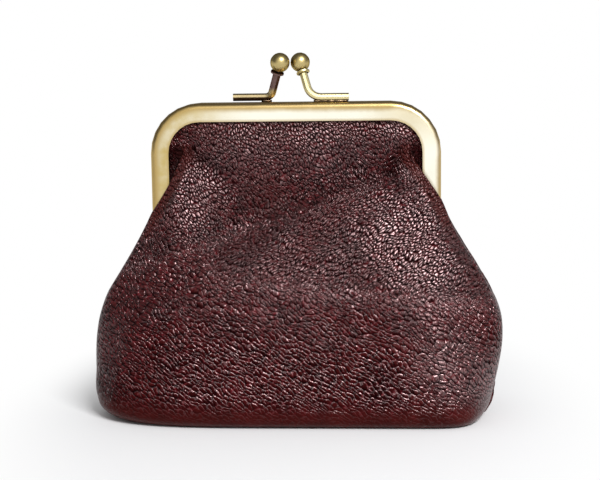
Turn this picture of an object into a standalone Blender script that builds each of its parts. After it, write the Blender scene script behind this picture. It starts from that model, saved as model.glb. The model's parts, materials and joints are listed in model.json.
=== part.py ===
"""Kiss-lock coin purse: two riveted channel frames, a ball lock, and a boxed leather pouch with a lining.

Metres, +Z up. The purse stands on its base at z = 0, its front faces -Y, and its frame is closed.
"""

import math

import bmesh
import bpy
from mathutils import Matrix, Vector

# Clearances
SEAT_GAP = 0.0003
LOCK_CLEARANCE = 0.00005
MOUTH_CLEARANCE = 0.0005
HALVES_CLEARANCE = 0.0003
CUT_OVERRUN = 0.001

# Frame halves, each a metal channel bent into an arch
FRAME_WIDTH = 0.085
FRAME_HEIGHT = 0.0455
FRAME_CORNER_RADIUS = 0.0146
CHANNEL_FACE = 0.0054
CHANNEL_DEPTH = 0.0043
CHANNEL_EDGE_RADIUS = 0.0016
METAL_THICKNESS = 0.0007

# Hinge at the foot of each leg
HINGE_HEIGHT = 0.047
LEG_END_RISE = 0.0034
TAB_ROOT_HEIGHT = 0.0020
EYE_RADIUS = 0.0024
EYE_START_DEGREES = -20
RIVET_RADIUS = 0.0009
RIVET_HEAD_RADIUS = 0.0019
RIVET_HEAD_HEIGHT = 0.0008
RIVET_DOME_SHARES = ((0.6, 0.85), (0.9, 0.5))

# Ball lock
BALL_DIAMETER = 0.0057
BALL_HEIGHT = 0.0115
BALL_CROSSING = 0.0025
LOCK_SHIFT = -0.0013
WIRE_DIAMETER = 0.0023
SOCKET_DEPTH = 0.0013
COLLAR_THICKNESS = 0.0009
COLLAR_WALL = 0.0005
COLLAR_FACE_SHARE = 0.5
FOOT_REACH = 0.0171
FOOT_CORNER = 0.0059
REAR_BEND_RADIUS = 0.0022
FRONT_BEND_RADIUS = 0.0042

# Leather, lining and the paper cord that wedges them in the channels
LEATHER_THICKNESS = 0.0012
LINING_THICKNESS = 0.0005
CORD_DIAMETER = 0.0016
CORD_END_RISE = 0.0070

# Pouch
BODY_WIDTH = 0.120
BODY_DEPTH = 0.0484
HINGE_DEPTH = 0.0344
SHOULDER_REACH = 0.0087
SHOULDER_RISE = 0.0154
CROSSING_RISE = 0.0240
CROSSING_SETTLE = 0.0050
WRAP_REACH = 0.0015
RIM_DROP = 0.0005
LINING_RIM_DROP = 0.0065
SIDE_LAP = 0.0006
HINGE_SQUARENESS = 2.6
LEFT_BASE_SQUARENESS = 4.5
LEFT_SQUARENESS_FADE = 0.9
RIGHT_BASE_SQUARENESS = 10.0
RIGHT_SQUARENESS_FADE = 2.0
BASE_EDGE_POWER = 0.5
MOUTH_SQUARENESS = 4.5
LINING_SQUARENESS = 5.5
MOUTH_EDGE_POWER = 1.0
RIM_SLOPE = 0.20
MOUTH_RIM_SLOPE = 0.38
MOUTH_RIM_SHARES = (0.0, 0.5, 1.0)
TUCKED_SHARE = 1.1
TUCKED_ROW_SHARE = 1.25
HELD_SHARE = 0.92
FOLD_FLOOR = 0.0058
LINING_LOOSENESS = 0.0008
SECTION_CROWDING = 2.2
ROW_CROWDING = 1.6

# How far the pouch has swollen from its size at the hinge to its full size, by its height's share
SWELL_HEIGHT_SHARES = (0.0, 0.066, 0.115, 0.17, 0.26, 0.46, 0.56, 0.65, 0.75, 0.85, 0.94, 1.0)
WIDTH_SWELL_SHARES = (0.28, 0.54, 0.71, 0.82, 0.89, 0.98, 1.0, 0.95, 0.79, 0.54, 0.23, 0.0)
DEPTH_SWELL_SHARES = (0.33, 0.84, 0.96, 1.0, 1.0, 1.0, 0.95, 0.85, 0.70, 0.48, 0.20, 0.0)

# How much of its depth at the hinge a mouth panel's middle keeps, by its height's share up to the channel
MOUTH_HEIGHT_SHARES = (0.0, 0.075, 0.27, 0.47, 0.62, 0.77, 0.90, 1.0)
MOUTH_DEPTH_SHARES = (1.0, 0.885, 0.620, 0.385, 0.275, 0.205, 0.12, 0.0)

# Folds of a mouth panel, seen from outside. Each point holds its place across, as a share of half the frame,
# its height as a share of the mouth's, how far it stands out as a share of FOLD_RELIEF, and its width as a
# share of FOLD_WIDTH.
FOLD_RELIEF = 0.0022
FOLD_WIDTH = 0.0052
LONG_VALLEY_SHARES = (
    (0.73, 0.61, -0.64, 0.60), (0.52, 0.66, -0.77, 0.81), (0.28, 0.636, -0.85, 1.0), (0.05, 0.51, -0.85, 1.2),
    (-0.19, 0.36, -0.85, 1.2), (-0.38, 0.244, -0.8, 1.1), (-0.54, 0.162, -0.55, 1.1), (-0.73, 0.075, 0.0, 1.15),
)
LEFT_VALLEY_SHARES = (
    (-0.69, 0.81, -0.5, 0.60), (-0.565, 0.70, -0.7, 0.80), (-0.42, 0.586, -0.6, 0.90), (-0.26, 0.50, 0.0, 1.0),
)
RIGHT_VALLEY_SHARES = (
    (0.73, 0.735, -0.5, 0.65), (0.70, 0.62, -0.75, 0.75), (0.69, 0.50, -0.45, 0.80), (0.70, 0.32, 0.0, 0.90),
)
LEFT_CREST_SHARES = (
    (-0.77, 0.83, 0.2, 0.45), (-0.79, 0.775, 0.75, 0.50), (-0.81, 0.64, 0.70, 0.55), (-0.86, 0.51, 0.60, 0.65),
    (-0.895, 0.374, 0.75, 0.75), (-0.93, 0.20, 0.50, 0.95), (-0.95, 0.05, 0.0, 1.0),
)
RIGHT_CREST_SHARES = (
    (0.78, 0.83, 0.2, 0.45), (0.79, 0.77, 0.75, 0.50), (0.83, 0.65, 0.60, 0.55), (0.88, 0.51, 0.45, 0.60),
    (0.93, 0.35, 0.40, 0.80), (0.99, 0.17, 0.0, 1.0),
)
FOLD_SHARES = (
    LONG_VALLEY_SHARES, LEFT_VALLEY_SHARES, RIGHT_VALLEY_SHARES, LEFT_CREST_SHARES, RIGHT_CREST_SHARES,
)

# Counts
PROFILE_ARC_STEPS = 3
FRAME_CORNER_STEPS = 7
ROUND_STEPS = 20
EYE_STEPS = 12
WIRE_BEND_STEPS = 7
WIRE_BEVEL_STEPS = 3
CORD_BEVEL_STEPS = 2
METAL_SHARP_DEGREES = 35
LEATHER_SHARP_DEGREES = 50
POUCH_ROWS = 11
POUCH_COLUMNS = 22
LINING_COLUMNS = 12
MOUTH_ROWS = 8
RIM_ITERATIONS = 6

# Sizes that follow from those above
HALF_FRAME = FRAME_WIDTH / 2
HALF_CLEARANCE = HALVES_CLEARANCE / 2
CROWN_HEIGHT = HINGE_HEIGHT + FRAME_HEIGHT
CHANNEL_MIDDLE = HALF_CLEARANCE + CHANNEL_DEPTH / 2
CHANNEL_FRONT = HALF_CLEARANCE + CHANNEL_DEPTH
LEATHER_TUCK_DEPTH = CHANNEL_FRONT - METAL_THICKNESS - SEAT_GAP
LINING_TUCK_DEPTH = LEATHER_TUCK_DEPTH - LEATHER_THICKNESS - SEAT_GAP
CORD_INSET = METAL_THICKNESS + SEAT_GAP + CORD_DIAMETER / 2
TUCK_INSET = CORD_INSET + CORD_DIAMETER / 2 + SEAT_GAP
MOUTH_INSET = CHANNEL_FACE + SEAT_GAP
HINGE_HALF_WIDTH = HALF_FRAME + SHOULDER_REACH
MOUTH_HEIGHT = FRAME_HEIGHT - CHANNEL_FACE
MOUTH_TUCK = LEATHER_THICKNESS + MOUTH_CLEARANCE
OVER_LEG_DEPTH = CHANNEL_FRONT + SEAT_GAP + LEATHER_THICKNESS
WIRE_HEIGHT = CROWN_HEIGHT + SEAT_GAP + WIRE_DIAMETER / 2
BALL_SPACING = BALL_DIAMETER + LOCK_CLEARANCE


# Shared tools

def clear_scene():
    """Remove every object that the file holds."""
    for thing in list(bpy.data.objects):
        bpy.data.objects.remove(thing, do_unlink=True)


def make_material(name, colour, roughness, metallic):
    """A plain surface of one colour."""
    material = bpy.data.materials.new(name)
    material.use_nodes = True
    shader = material.node_tree.nodes["Principled BSDF"]
    shader.inputs["Base Color"].default_value = (*colour, 1.0)
    shader.inputs["Roughness"].default_value = roughness
    shader.inputs["Metallic"].default_value = metallic
    return material


def add_object(name, data, material, parent=None):
    """Put a mesh or a curve into the scene, where its points already are."""
    thing = bpy.data.objects.new(name, data)
    bpy.context.collection.objects.link(thing)
    data.materials.clear()
    data.materials.append(material)
    if parent:
        thing.parent = parent
        thing.matrix_parent_inverse = Matrix.Translation(parent.location).inverted()
    return thing


def mesh_from(name, points, faces):
    """A mesh from points and faces, its faces turned outwards."""
    mesh = bpy.data.meshes.new(name)
    mesh.from_pydata(points, [], faces)
    shape = bmesh.new()
    shape.from_mesh(mesh)
    bmesh.ops.recalc_face_normals(shape, faces=shape.faces)
    shape.to_mesh(mesh)
    shape.free()
    return mesh


def shade_round(mesh, sharp_degrees):
    """Shade a mesh smooth, apart from its sharp edges."""
    mesh.shade_smooth()
    mesh.set_sharp_from_angle(angle=math.radians(sharp_degrees))


def smooth_between(low, high, value):
    """Rise smoothly from 0 at low to 1 at high."""
    share = min(1.0, max(0.0, (value - low) / (high - low)))
    return share * share * (3 - 2 * share)


def along_curve(places, values, place):
    """Read a smooth curve through the given values."""
    last = len(places) - 1
    place = min(max(place, places[0]), places[last])
    step = next(i for i in range(last) if place <= places[i + 1])

    def slope(i):
        before, after = max(i - 1, 0), min(i + 1, last)
        return (values[after] - values[before]) / (places[after] - places[before])

    span = places[step + 1] - places[step]
    t = (place - places[step]) / span
    rise = values[step] * (1 + 2 * t) * (1 - t) ** 2 + values[step + 1] * t * t * (3 - 2 * t)
    return rise + span * (slope(step) * t * (1 - t) ** 2 - slope(step + 1) * t * t * (1 - t))


def join_rings(rings, closed_rings=True):
    """Faces between rings of points, which are numbered one ring after the other."""
    size = len(rings[0])
    count = size if closed_rings else size - 1
    faces = []
    for ring in range(len(rings) - 1):
        for i in range(count):
            after = (i + 1) % size
            low, high = ring * size, (ring + 1) * size
            faces.append((low + i, low + after, high + after, high + i))
    return faces


def solid_from_rings(name, rings):
    """A closed solid through rings of points, with a flat cap on its first and last ring."""
    points = [point for ring in rings for point in ring]
    size = len(rings[0])
    faces = join_rings(rings)
    faces.append(tuple(range(size)))
    faces.append(tuple(len(points) - size + i for i in range(size)))
    return mesh_from(name, points, faces)


def turned_solid(name, profile, centre, axis):
    """Turn a closed profile of (radius, height) points about an axis. Points at radius 0 close it."""
    turn = Vector((0, 0, 1)).rotation_difference(axis).to_matrix()
    points, faces, rings = [], [], []
    for radius, height in profile:
        count = ROUND_STEPS if radius > 0 else 1
        ring = []
        for i in range(count):
            angle = math.tau * i / ROUND_STEPS
            local = Vector((radius * math.cos(angle), radius * math.sin(angle), height))
            ring.append(len(points))
            points.append(centre + turn @ local)
        rings.append(ring)
    pairs = list(zip(rings, rings[1:]))
    if profile[0][0] > 0:
        pairs.append((rings[-1], rings[0]))
    for low, high in pairs:
        for i in range(ROUND_STEPS):
            after = (i + 1) % ROUND_STEPS
            corners = (
                low[i % len(low)], low[after % len(low)],
                high[after % len(high)], high[i % len(high)],
            )
            corners = tuple(dict.fromkeys(corners))
            if len(corners) > 2:
                faces.append(corners)
    mesh = mesh_from(name, points, faces)
    shade_round(mesh, METAL_SHARP_DEGREES)
    return mesh


def combine(target, tool, operation):
    """Join a solid to another, or cut it out, and remove the tool."""
    modifier = target.modifiers.new(operation.lower(), "BOOLEAN")
    modifier.operation = operation
    modifier.solver = "EXACT"
    modifier.object = tool
    graph = bpy.context.evaluated_depsgraph_get()
    result = bpy.data.meshes.new_from_object(target.evaluated_get(graph))
    target.modifiers.remove(modifier)
    old = target.data
    target.data = result
    bpy.data.meshes.remove(old)
    bpy.data.objects.remove(tool, do_unlink=True)


# Frame halves

def arch_path(inset, lowest):
    """Points and inward directions in XZ along the arch, at an inset from its outer edge."""
    half = HALF_FRAME - inset
    radius = FRAME_CORNER_RADIUS - inset
    centre_x = HALF_FRAME - FRAME_CORNER_RADIUS
    centre_z = CROWN_HEIGHT - FRAME_CORNER_RADIUS
    right = [(half, lowest, 0.0)]
    for i in range(FRAME_CORNER_STEPS + 1):
        angle = math.pi / 2 * i / FRAME_CORNER_STEPS
        right.append((centre_x + radius * math.cos(angle), centre_z + radius * math.sin(angle), angle))
    path = [((x, z), (-math.cos(angle), -math.sin(angle))) for x, z, angle in right]
    left = [((-x, z), (math.cos(angle), -math.sin(angle))) for x, z, angle in reversed(right)]
    return path + left


def channel_profile():
    """The channel's section as (inset from the arch's edge, depth across the channel) points."""
    half = CHANNEL_DEPTH / 2
    outer_radius = CHANNEL_EDGE_RADIUS
    inner_radius = outer_radius - METAL_THICKNESS
    inner_half = half - METAL_THICKNESS

    def arc(centre_inset, centre_depth, radius, start, end):
        points = []
        for i in range(PROFILE_ARC_STEPS + 1):
            angle = math.radians(start + (end - start) * i / PROFILE_ARC_STEPS)
            points.append(
                (centre_inset - radius * math.sin(angle), centre_depth + radius * math.cos(angle))
            )
        return points

    outer = [(CHANNEL_FACE, half)]
    outer += arc(outer_radius, half - outer_radius, outer_radius, 0, 90)
    outer += arc(outer_radius, outer_radius - half, outer_radius, 90, 180)
    outer += [(CHANNEL_FACE, -half)]
    inner = [(CHANNEL_FACE, -inner_half)]
    inner += arc(outer_radius, inner_radius - inner_half, inner_radius, 180, 90)
    inner += arc(outer_radius, inner_half - inner_radius, inner_radius, 90, 0)
    inner += [(CHANNEL_FACE, inner_half)]
    return outer + inner


def channel_arch(name, side):
    """The channel swept along the arch, from the end of one leg to the end of the other."""
    profile = channel_profile()
    rings = []
    for (x, z), (in_x, in_z) in arch_path(0, HINGE_HEIGHT + LEG_END_RISE):
        rings.append([
            Vector((x + in_x * inset, side * CHANNEL_MIDDLE + depth, z + in_z * inset))
            for inset, depth in profile
        ])
    return solid_from_rings(name, rings)


def hinge_tab(name, side, leg, tab_inset):
    """The flat tab that carries the hinge eye below a leg, as a plate square to the X axis."""
    outline = []
    top = LEG_END_RISE + TAB_ROOT_HEIGHT
    edge = CHANNEL_FRONT - CHANNEL_EDGE_RADIUS
    outline.append((side * (HALF_CLEARANCE + CHANNEL_EDGE_RADIUS), top))
    outline.append((side * edge, top))
    outline.append((side * edge, LEG_END_RISE))
    for i in range(EYE_STEPS + 1):
        angle = math.radians(EYE_START_DEGREES) - math.tau * i / ROUND_STEPS
        outline.append((side * EYE_RADIUS * math.cos(angle), EYE_RADIUS * math.sin(angle)))
    outline.append((side * HALF_CLEARANCE, LEG_END_RISE))
    near = HALF_FRAME - tab_inset
    far = near - METAL_THICKNESS
    rings = [
        [Vector((leg * x, y, HINGE_HEIGHT + rise)) for y, rise in outline] for x in (near, far)
    ]
    return solid_from_rings(name, rings)


def joggle_block(name, side, leg, tab_inset):
    """The short offset that carries a tab inwards from its channel."""
    low = HINGE_HEIGHT + LEG_END_RISE
    high = low + TAB_ROOT_HEIGHT
    near = side * (HALF_CLEARANCE + CHANNEL_EDGE_RADIUS)
    far = side * (CHANNEL_FRONT - CHANNEL_EDGE_RADIUS)
    rings = []
    for x in (HALF_FRAME - METAL_THICKNESS / 2, HALF_FRAME - tab_inset - METAL_THICKNESS / 2):
        rings.append([
            Vector((leg * x, near, low)), Vector((leg * x, far, low)),
            Vector((leg * x, far, high)), Vector((leg * x, near, high)),
        ])
    return solid_from_rings(name, rings)


def frame_half(name, side, tab_inset, material, parent):
    """One half of the frame: a channel arch with a hinge eye at the foot of each leg."""
    frame = add_object(name, channel_arch(name, side), material, parent)
    hole_radius = RIVET_RADIUS + SEAT_GAP
    for leg in (-1, 1):
        if tab_inset > 0:
            block = add_object("joggle", joggle_block("joggle", side, leg, tab_inset), material)
            combine(frame, block, "UNION")
        tab = add_object("tab", hinge_tab("tab", side, leg, tab_inset), material)
        combine(frame, tab, "UNION")
        start = Vector((leg * (HALF_FRAME + CUT_OVERRUN), 0, HINGE_HEIGHT))
        length = 2 * CUT_OVERRUN + tab_inset + METAL_THICKNESS
        hole_profile = [(0, 0), (hole_radius, 0), (hole_radius, length), (0, length)]
        drill = turned_solid("drill", hole_profile, start, Vector((-leg, 0, 0)))
        combine(frame, add_object("drill", drill, material), "DIFFERENCE")
    shade_round(frame.data, METAL_SHARP_DEGREES)
    return frame


def hinge_rivet(name, leg, rear_tab_inset, material, parent):
    """A rivet through both tabs, with a domed head on each side."""
    grip = rear_tab_inset + METAL_THICKNESS + 2 * SEAT_GAP
    head, height = RIVET_HEAD_RADIUS, RIVET_HEAD_HEIGHT
    dome = [(head * across, height * up) for across, up in RIVET_DOME_SHARES]
    profile = [(0, -height)]
    profile += [(radius, -up) for radius, up in dome]
    profile += [(head, 0), (RIVET_RADIUS, 0), (RIVET_RADIUS, grip), (head, grip)]
    profile += [(radius, grip + up) for radius, up in reversed(dome)]
    profile += [(0, grip + height)]
    start = Vector((leg * (HALF_FRAME + SEAT_GAP), 0, HINGE_HEIGHT))
    return add_object(name, turned_solid(name, profile, start, Vector((-leg, 0, 0))), material, parent)


# Ball lock

def lock_places(side):
    """Foot end, bend corner and ball centre of one half's arm. The rear half's arm is on the left."""
    foot_y = side * CHANNEL_MIDDLE
    foot = Vector((LOCK_SHIFT - side * FOOT_REACH, foot_y, WIRE_HEIGHT))
    corner = Vector((LOCK_SHIFT - side * FOOT_CORNER, foot_y, WIRE_HEIGHT))
    ball = Vector((
        LOCK_SHIFT - side * BALL_SPACING / 2, -side * BALL_CROSSING / 2, CROWN_HEIGHT + BALL_HEIGHT,
    ))
    return foot, corner, ball


def rounded_corner(start, corner, end, radius):
    """Points of the arc that rounds a corner between two straight runs."""
    to_start = (start - corner).normalized()
    to_end = (end - corner).normalized()
    half_angle = to_start.angle(to_end) / 2
    middle = (to_start + to_end).normalized()
    centre = corner + middle * (radius / math.sin(half_angle))
    cut = radius / math.tan(half_angle)
    first = (corner + to_start * cut - centre).normalized()
    last = (corner + to_end * cut - centre).normalized()
    shares = [i / WIRE_BEND_STEPS for i in range(WIRE_BEND_STEPS + 1)]
    return [centre + first.slerp(last, share) * radius for share in shares]


def tube_curve(name, points, diameter, bevel_resolution, material, parent):
    """A round wire along points, with flat ends."""
    curve = bpy.data.curves.new(name, "CURVE")
    curve.dimensions = "3D"
    curve.bevel_depth = diameter / 2
    curve.bevel_resolution = bevel_resolution
    curve.use_fill_caps = True
    spline = curve.splines.new("POLY")
    spline.points.add(len(points) - 1)
    for place, point in zip(spline.points, points):
        place.co = (*point, 1.0)
    spline.use_smooth = True
    return add_object(name, curve, material, parent)


def lock_arm(name, side, bend_radius, material, parent):
    """The wire arm: its foot lies on the crown, and its stem ends in the ball's socket."""
    foot, corner, ball = lock_places(side)
    up = (ball - corner).normalized()
    socket_floor = ball - up * (BALL_DIAMETER / 2 - SOCKET_DEPTH)
    points = [foot, *rounded_corner(foot, corner, ball, bend_radius), socket_floor - up * SEAT_GAP]
    return tube_curve(name, points, WIRE_DIAMETER, WIRE_BEVEL_STEPS, material, parent)


def lock_ball(name, side, material, parent):
    """The ball, drilled from below to take the end of its arm."""
    corner, ball = lock_places(side)[1:]
    radius = BALL_DIAMETER / 2
    socket_radius = WIRE_DIAMETER / 2 + SEAT_GAP
    mouth = math.asin(socket_radius / radius)
    profile = [(0, SOCKET_DEPTH - radius), (socket_radius, SOCKET_DEPTH - radius)]
    steps = ROUND_STEPS // 2
    for i in range(steps):
        angle = mouth + (math.pi - mouth) * i / steps
        profile.append((radius * math.sin(angle), -radius * math.cos(angle)))
    profile.append((0, radius))
    up = (ball - corner).normalized()
    return add_object(name, turned_solid(name, profile, ball, up), material, parent)


def lock_collar(name, side, material, parent):
    """The ring round the arm, just under the ball."""
    corner, ball = lock_places(side)[1:]
    inner = WIRE_DIAMETER / 2 + SEAT_GAP
    outer = inner + COLLAR_WALL
    half = COLLAR_THICKNESS / 2
    top = math.sqrt((BALL_DIAMETER / 2) ** 2 - inner ** 2) + SEAT_GAP
    face = half * COLLAR_FACE_SHARE
    middle = -top - half
    profile = [(inner, middle - half), (outer, middle - face), (outer, middle + face), (inner, middle + half)]
    up = (ball - corner).normalized()
    return add_object(name, turned_solid(name, profile, ball, up), material, parent)


# Pouch and mouth surfaces. A half faces the side with sign -1 at the front and +1 at the rear.

def pouch_half_width(height):
    """Half the pouch's width at a height up to the hinge."""
    swell = along_curve(SWELL_HEIGHT_SHARES, WIDTH_SWELL_SHARES, height / HINGE_HEIGHT)
    return HINGE_HALF_WIDTH + (BODY_WIDTH / 2 - HINGE_HALF_WIDTH) * swell


def pouch_half_depth(height):
    """Half the pouch's depth in its middle, at a height up to the hinge."""
    swell = along_curve(SWELL_HEIGHT_SHARES, DEPTH_SWELL_SHARES, height / HINGE_HEIGHT)
    return (HINGE_DEPTH + (BODY_DEPTH - HINGE_DEPTH) * swell) / 2


def pouch_squareness(share, height):
    """How square the pouch's plan is on one side at a height, and the power that rounds its corner."""
    below = max(0.0, 1 - height / HINGE_HEIGHT)
    power = 1 / HINGE_SQUARENESS
    if share < 0:
        return HINGE_SQUARENESS + (LEFT_BASE_SQUARENESS - HINGE_SQUARENESS) * below ** LEFT_SQUARENESS_FADE, power
    fall = below ** RIGHT_SQUARENESS_FADE
    return (
        HINGE_SQUARENESS + (RIGHT_BASE_SQUARENESS - HINGE_SQUARENESS) * fall,
        power + (BASE_EDGE_POWER - power) * fall,
    )


def section_shares(columns):
    """Shares of the half width at which a section's points lie, crowded towards both sides."""
    shares = []
    for i in range(-columns, columns + 1):
        near = abs(i) / columns
        shares.append(math.copysign(1 - (1 - near) ** SECTION_CROWDING, i))
    return shares


def bulge(share, squareness, power):
    """How far a section stands out at a share of its half width, from 1 in its middle to 0."""
    return max(0.0, 1 - abs(share) ** squareness) ** power


def pouch_point(share, height, inset):
    """A point on the front of the pouch, an inset inside its outer surface."""
    half_width = pouch_half_width(height) - inset
    depth = pouch_half_depth(height) - inset - HALF_CLEARANCE
    stand_out = depth * bulge(share, *pouch_squareness(share, height))
    return Vector((share * half_width, -HALF_CLEARANCE - stand_out, height))


def pouch_rows(columns, inset, floor, rim_drop, rim_slope):
    """Rows of points from the rim down to the floor, at an inset from the outer surface."""
    rows = []
    for row in range(POUCH_ROWS + 1):
        down = (1 - row / POUCH_ROWS) ** ROW_CROWDING
        points = []
        for share in section_shares(columns):
            point = pouch_point(share, floor, inset)
            for _ in range(RIM_ITERATIONS):
                rim = HINGE_HEIGHT - rim_drop - rim_slope * abs(point.y)
                point = pouch_point(share, floor + (rim - floor) * down, inset)
            points.append(point)
        rows.append(points)
    return rows


def pouch_half(name, side, columns, inset, thickness, rim_drop, rim_slope, material):
    """One half of the bag or of its lining: a wall and a flat floor of one thickness."""
    outer = pouch_rows(columns, inset, inset, rim_drop, rim_slope)
    inner = pouch_rows(columns, inset + thickness, inset + thickness, rim_drop, rim_slope)
    width, height = len(outer[0]), len(outer)
    points = [point for row in outer + inner for point in row]
    faces = join_rings(outer, closed_rings=False)
    shift = width * height
    faces += [tuple(shift + i for i in face) for face in faces]
    last = (height - 1) * width
    faces.append(tuple(last + i for i in range(width)))
    faces.append(tuple(shift + last + i for i in range(width)))
    for i in range(width - 1):
        faces.append((i, i + 1, shift + i + 1, shift + i))
    for row in range(height - 1):
        for edge in (0, width - 1):
            a, b = row * width + edge, (row + 1) * width + edge
            faces.append((a, b, shift + b, shift + a))
    faces.append((last, last + width - 1, shift + last + width - 1, shift + last))
    points = [Vector((point.x, -side * point.y, point.z)) for point in points]
    mesh = mesh_from(name, points, faces)
    shade_round(mesh, LEATHER_SHARP_DEGREES)
    return add_object(name, mesh, material)


def arch_half_width(height, inset):
    """Half the width of the arch at a height, at an inset from its outer edge."""
    radius = FRAME_CORNER_RADIUS - inset
    above = height - (CROWN_HEIGHT - FRAME_CORNER_RADIUS)
    if above <= 0:
        return HALF_FRAME - inset
    inside = max(0.0, radius * radius - above * above)
    return HALF_FRAME - inset - radius + math.sqrt(inside)


def mouth_half_depth(height):
    """Half the depth of the closed mouth in its middle, from the hinge up to the channel."""
    if height < HINGE_HEIGHT:
        return pouch_half_depth(height)
    kept = along_curve(MOUTH_HEIGHT_SHARES, MOUTH_DEPTH_SHARES, (height - HINGE_HEIGHT) / MOUTH_HEIGHT)
    return LEATHER_TUCK_DEPTH + (HINGE_DEPTH / 2 - LEATHER_TUCK_DEPTH) * kept


def mouth_tuck(height):
    """How far the mouth panel is drawn in, so that it can swing inside the pouch's rim."""
    return MOUTH_TUCK * (1 - smooth_between(HINGE_HEIGHT, HINGE_HEIGHT + SHOULDER_RISE, height))


def mouth_edge(height):
    """Half width and depth where the free leather ends, then half width and depth of its tucked edge."""
    rise = height - HINGE_HEIGHT
    if rise > CROSSING_RISE + CROSSING_SETTLE * TUCKED_SHARE:
        free = arch_half_width(height, MOUTH_INSET)
        return free, LEATHER_TUCK_DEPTH, arch_half_width(height, TUCK_INSET), LEATHER_TUCK_DEPTH
    inside = HALF_FRAME - MOUTH_INSET - SEAT_GAP
    over = OVER_LEG_DEPTH + SEAT_GAP
    if rise >= CROSSING_RISE:
        share = min(1.0, (rise - CROSSING_RISE) / CROSSING_SETTLE)
        depth = over + (LEATHER_TUCK_DEPTH - over) * share
        return inside, depth, inside + SEAT_GAP, depth
    outside = HALF_FRAME + SEAT_GAP
    if rise >= SHOULDER_RISE:
        share = (rise - SHOULDER_RISE) / (CROSSING_RISE - SHOULDER_RISE)
        free = outside + (inside - outside) * share
        return free, over, free + 2 * SEAT_GAP, over - SEAT_GAP
    slope_width = HALF_FRAME + SHOULDER_REACH * (1 - rise / SHOULDER_RISE)
    free = max(outside, slope_width - mouth_tuck(height))
    if height < HINGE_HEIGHT:
        free = pouch_half_width(height) - MOUTH_TUCK
    clear = HALF_FRAME + SEAT_GAP + LEATHER_THICKNESS + 2 * SEAT_GAP
    wrap = smooth_between(clear, clear + WRAP_REACH, free)
    lip = HALF_CLEARANCE + SIDE_LAP
    return free, over + (lip - over) * wrap, free + 2 * SEAT_GAP * (1 - wrap), (
        over - SEAT_GAP + (HALF_CLEARANCE - over + SEAT_GAP) * wrap
    )


def mouth_bulge(share, height, upper_squareness):
    """How far the mouth stands out at a share of its half width: full at the hinge, gentle above."""
    above = smooth_between(HINGE_HEIGHT, HINGE_HEIGHT + CROSSING_RISE, height)
    squareness = HINGE_SQUARENESS + (upper_squareness - HINGE_SQUARENESS) * above
    power = 1 / HINGE_SQUARENESS + (MOUTH_EDGE_POWER - 1 / HINGE_SQUARENESS) * above
    return bulge(share, squareness, power)


def mouth_levels():
    """Heights of the mouth panel's rows, from its tucked top edge down to the hinge."""
    corner_centre = CROWN_HEIGHT - FRAME_CORNER_RADIUS
    corner_rise = FRAME_CORNER_RADIUS - TUCK_INSET
    levels = []
    for i in range(FRAME_CORNER_STEPS):
        levels.append(corner_centre + corner_rise * math.cos(math.pi / 2 * i / FRAME_CORNER_STEPS))
    crossing = HINGE_HEIGHT + CROSSING_RISE
    tucked = crossing + CROSSING_SETTLE * TUCKED_ROW_SHARE
    levels += [(corner_centre + tucked) / 2, tucked, crossing + CROSSING_SETTLE, crossing]
    for i in range(1, MOUTH_ROWS + 1):
        levels.append(HINGE_HEIGHT + CROSSING_RISE * (1 - i / MOUTH_ROWS))
    return levels


def fold_push(x, height):
    """How far the folds push the front mouth panel out at a place, or in where it is below 0."""
    place = Vector((x, height))
    total = 0.0
    for fold in FOLD_SHARES:
        points = [
            (Vector((across * HALF_FRAME, HINGE_HEIGHT + up * MOUTH_HEIGHT)), relief * FOLD_RELIEF, width * FOLD_WIDTH)
            for across, up, relief, width in fold
        ]
        nearest, push = math.inf, 0.0
        for (start, low, narrow), (end, high, wide) in zip(points, points[1:]):
            run = end - start
            share = min(1.0, max(0.0, (place - start).dot(run) / run.length_squared))
            away = (place - start - run * share).length / (narrow + (wide - narrow) * share)
            if away < nearest:
                nearest = away
                push = low + (high - low) * share
        total += push * math.exp(-nearest * nearest)
    return total


def mouth_depth(x, height):
    """Depth of the front mouth panel's outer surface at a place on its free leather."""
    free, free_depth, tuck, tuck_depth = mouth_edge(height)
    middle = mouth_half_depth(height) - mouth_tuck(height)
    plain = free_depth + max(0.0, middle - free_depth) * mouth_bulge(x / free, height, MOUTH_SQUARENESS)
    held = (OVER_LEG_DEPTH - min(free_depth, OVER_LEG_DEPTH)) / (OVER_LEG_DEPTH - LEATHER_TUCK_DEPTH)
    loose = 1 - held * smooth_between(HELD_SHARE, 1, abs(x / free))
    return max(min(plain, FOLD_FLOOR), plain + fold_push(x, height) * loose)


def mouth_leather_point(share, height):
    """A point on the outside of the front mouth panel. Shares past 1 lie in its tucked edge."""
    free, free_depth, tuck, tuck_depth = mouth_edge(height)
    if abs(share) > 1:
        return Vector((math.copysign(tuck, share), -tuck_depth, height))
    return Vector((share * free, -mouth_depth(share * free, height), height))


def mouth_lining_point(share, height):
    """A point on the outer side of the front mouth lining, which stays between the legs."""
    rise = height - HINGE_HEIGHT
    free = min(arch_half_width(height, MOUTH_INSET), HALF_FRAME - MOUTH_INSET - SEAT_GAP)
    tuck = arch_half_width(height, TUCK_INSET)
    if rise < CORD_END_RISE:
        tuck = HALF_FRAME - CHANNEL_FACE + SEAT_GAP
    if abs(share) > 1:
        return Vector((math.copysign(tuck, share), -LINING_TUCK_DEPTH, height))
    middle = mouth_half_depth(height) - mouth_tuck(height) - LEATHER_THICKNESS - SEAT_GAP
    stand_out = max(0.0, middle - LINING_TUCK_DEPTH) * mouth_bulge(share, height, LINING_SQUARENESS)
    behind_leather = mouth_depth(share * free, height) - LEATHER_THICKNESS - LINING_LOOSENESS
    depth = max(LINING_TUCK_DEPTH, min(LINING_TUCK_DEPTH + stand_out, behind_leather))
    return Vector((share * free, -depth, height))


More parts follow.
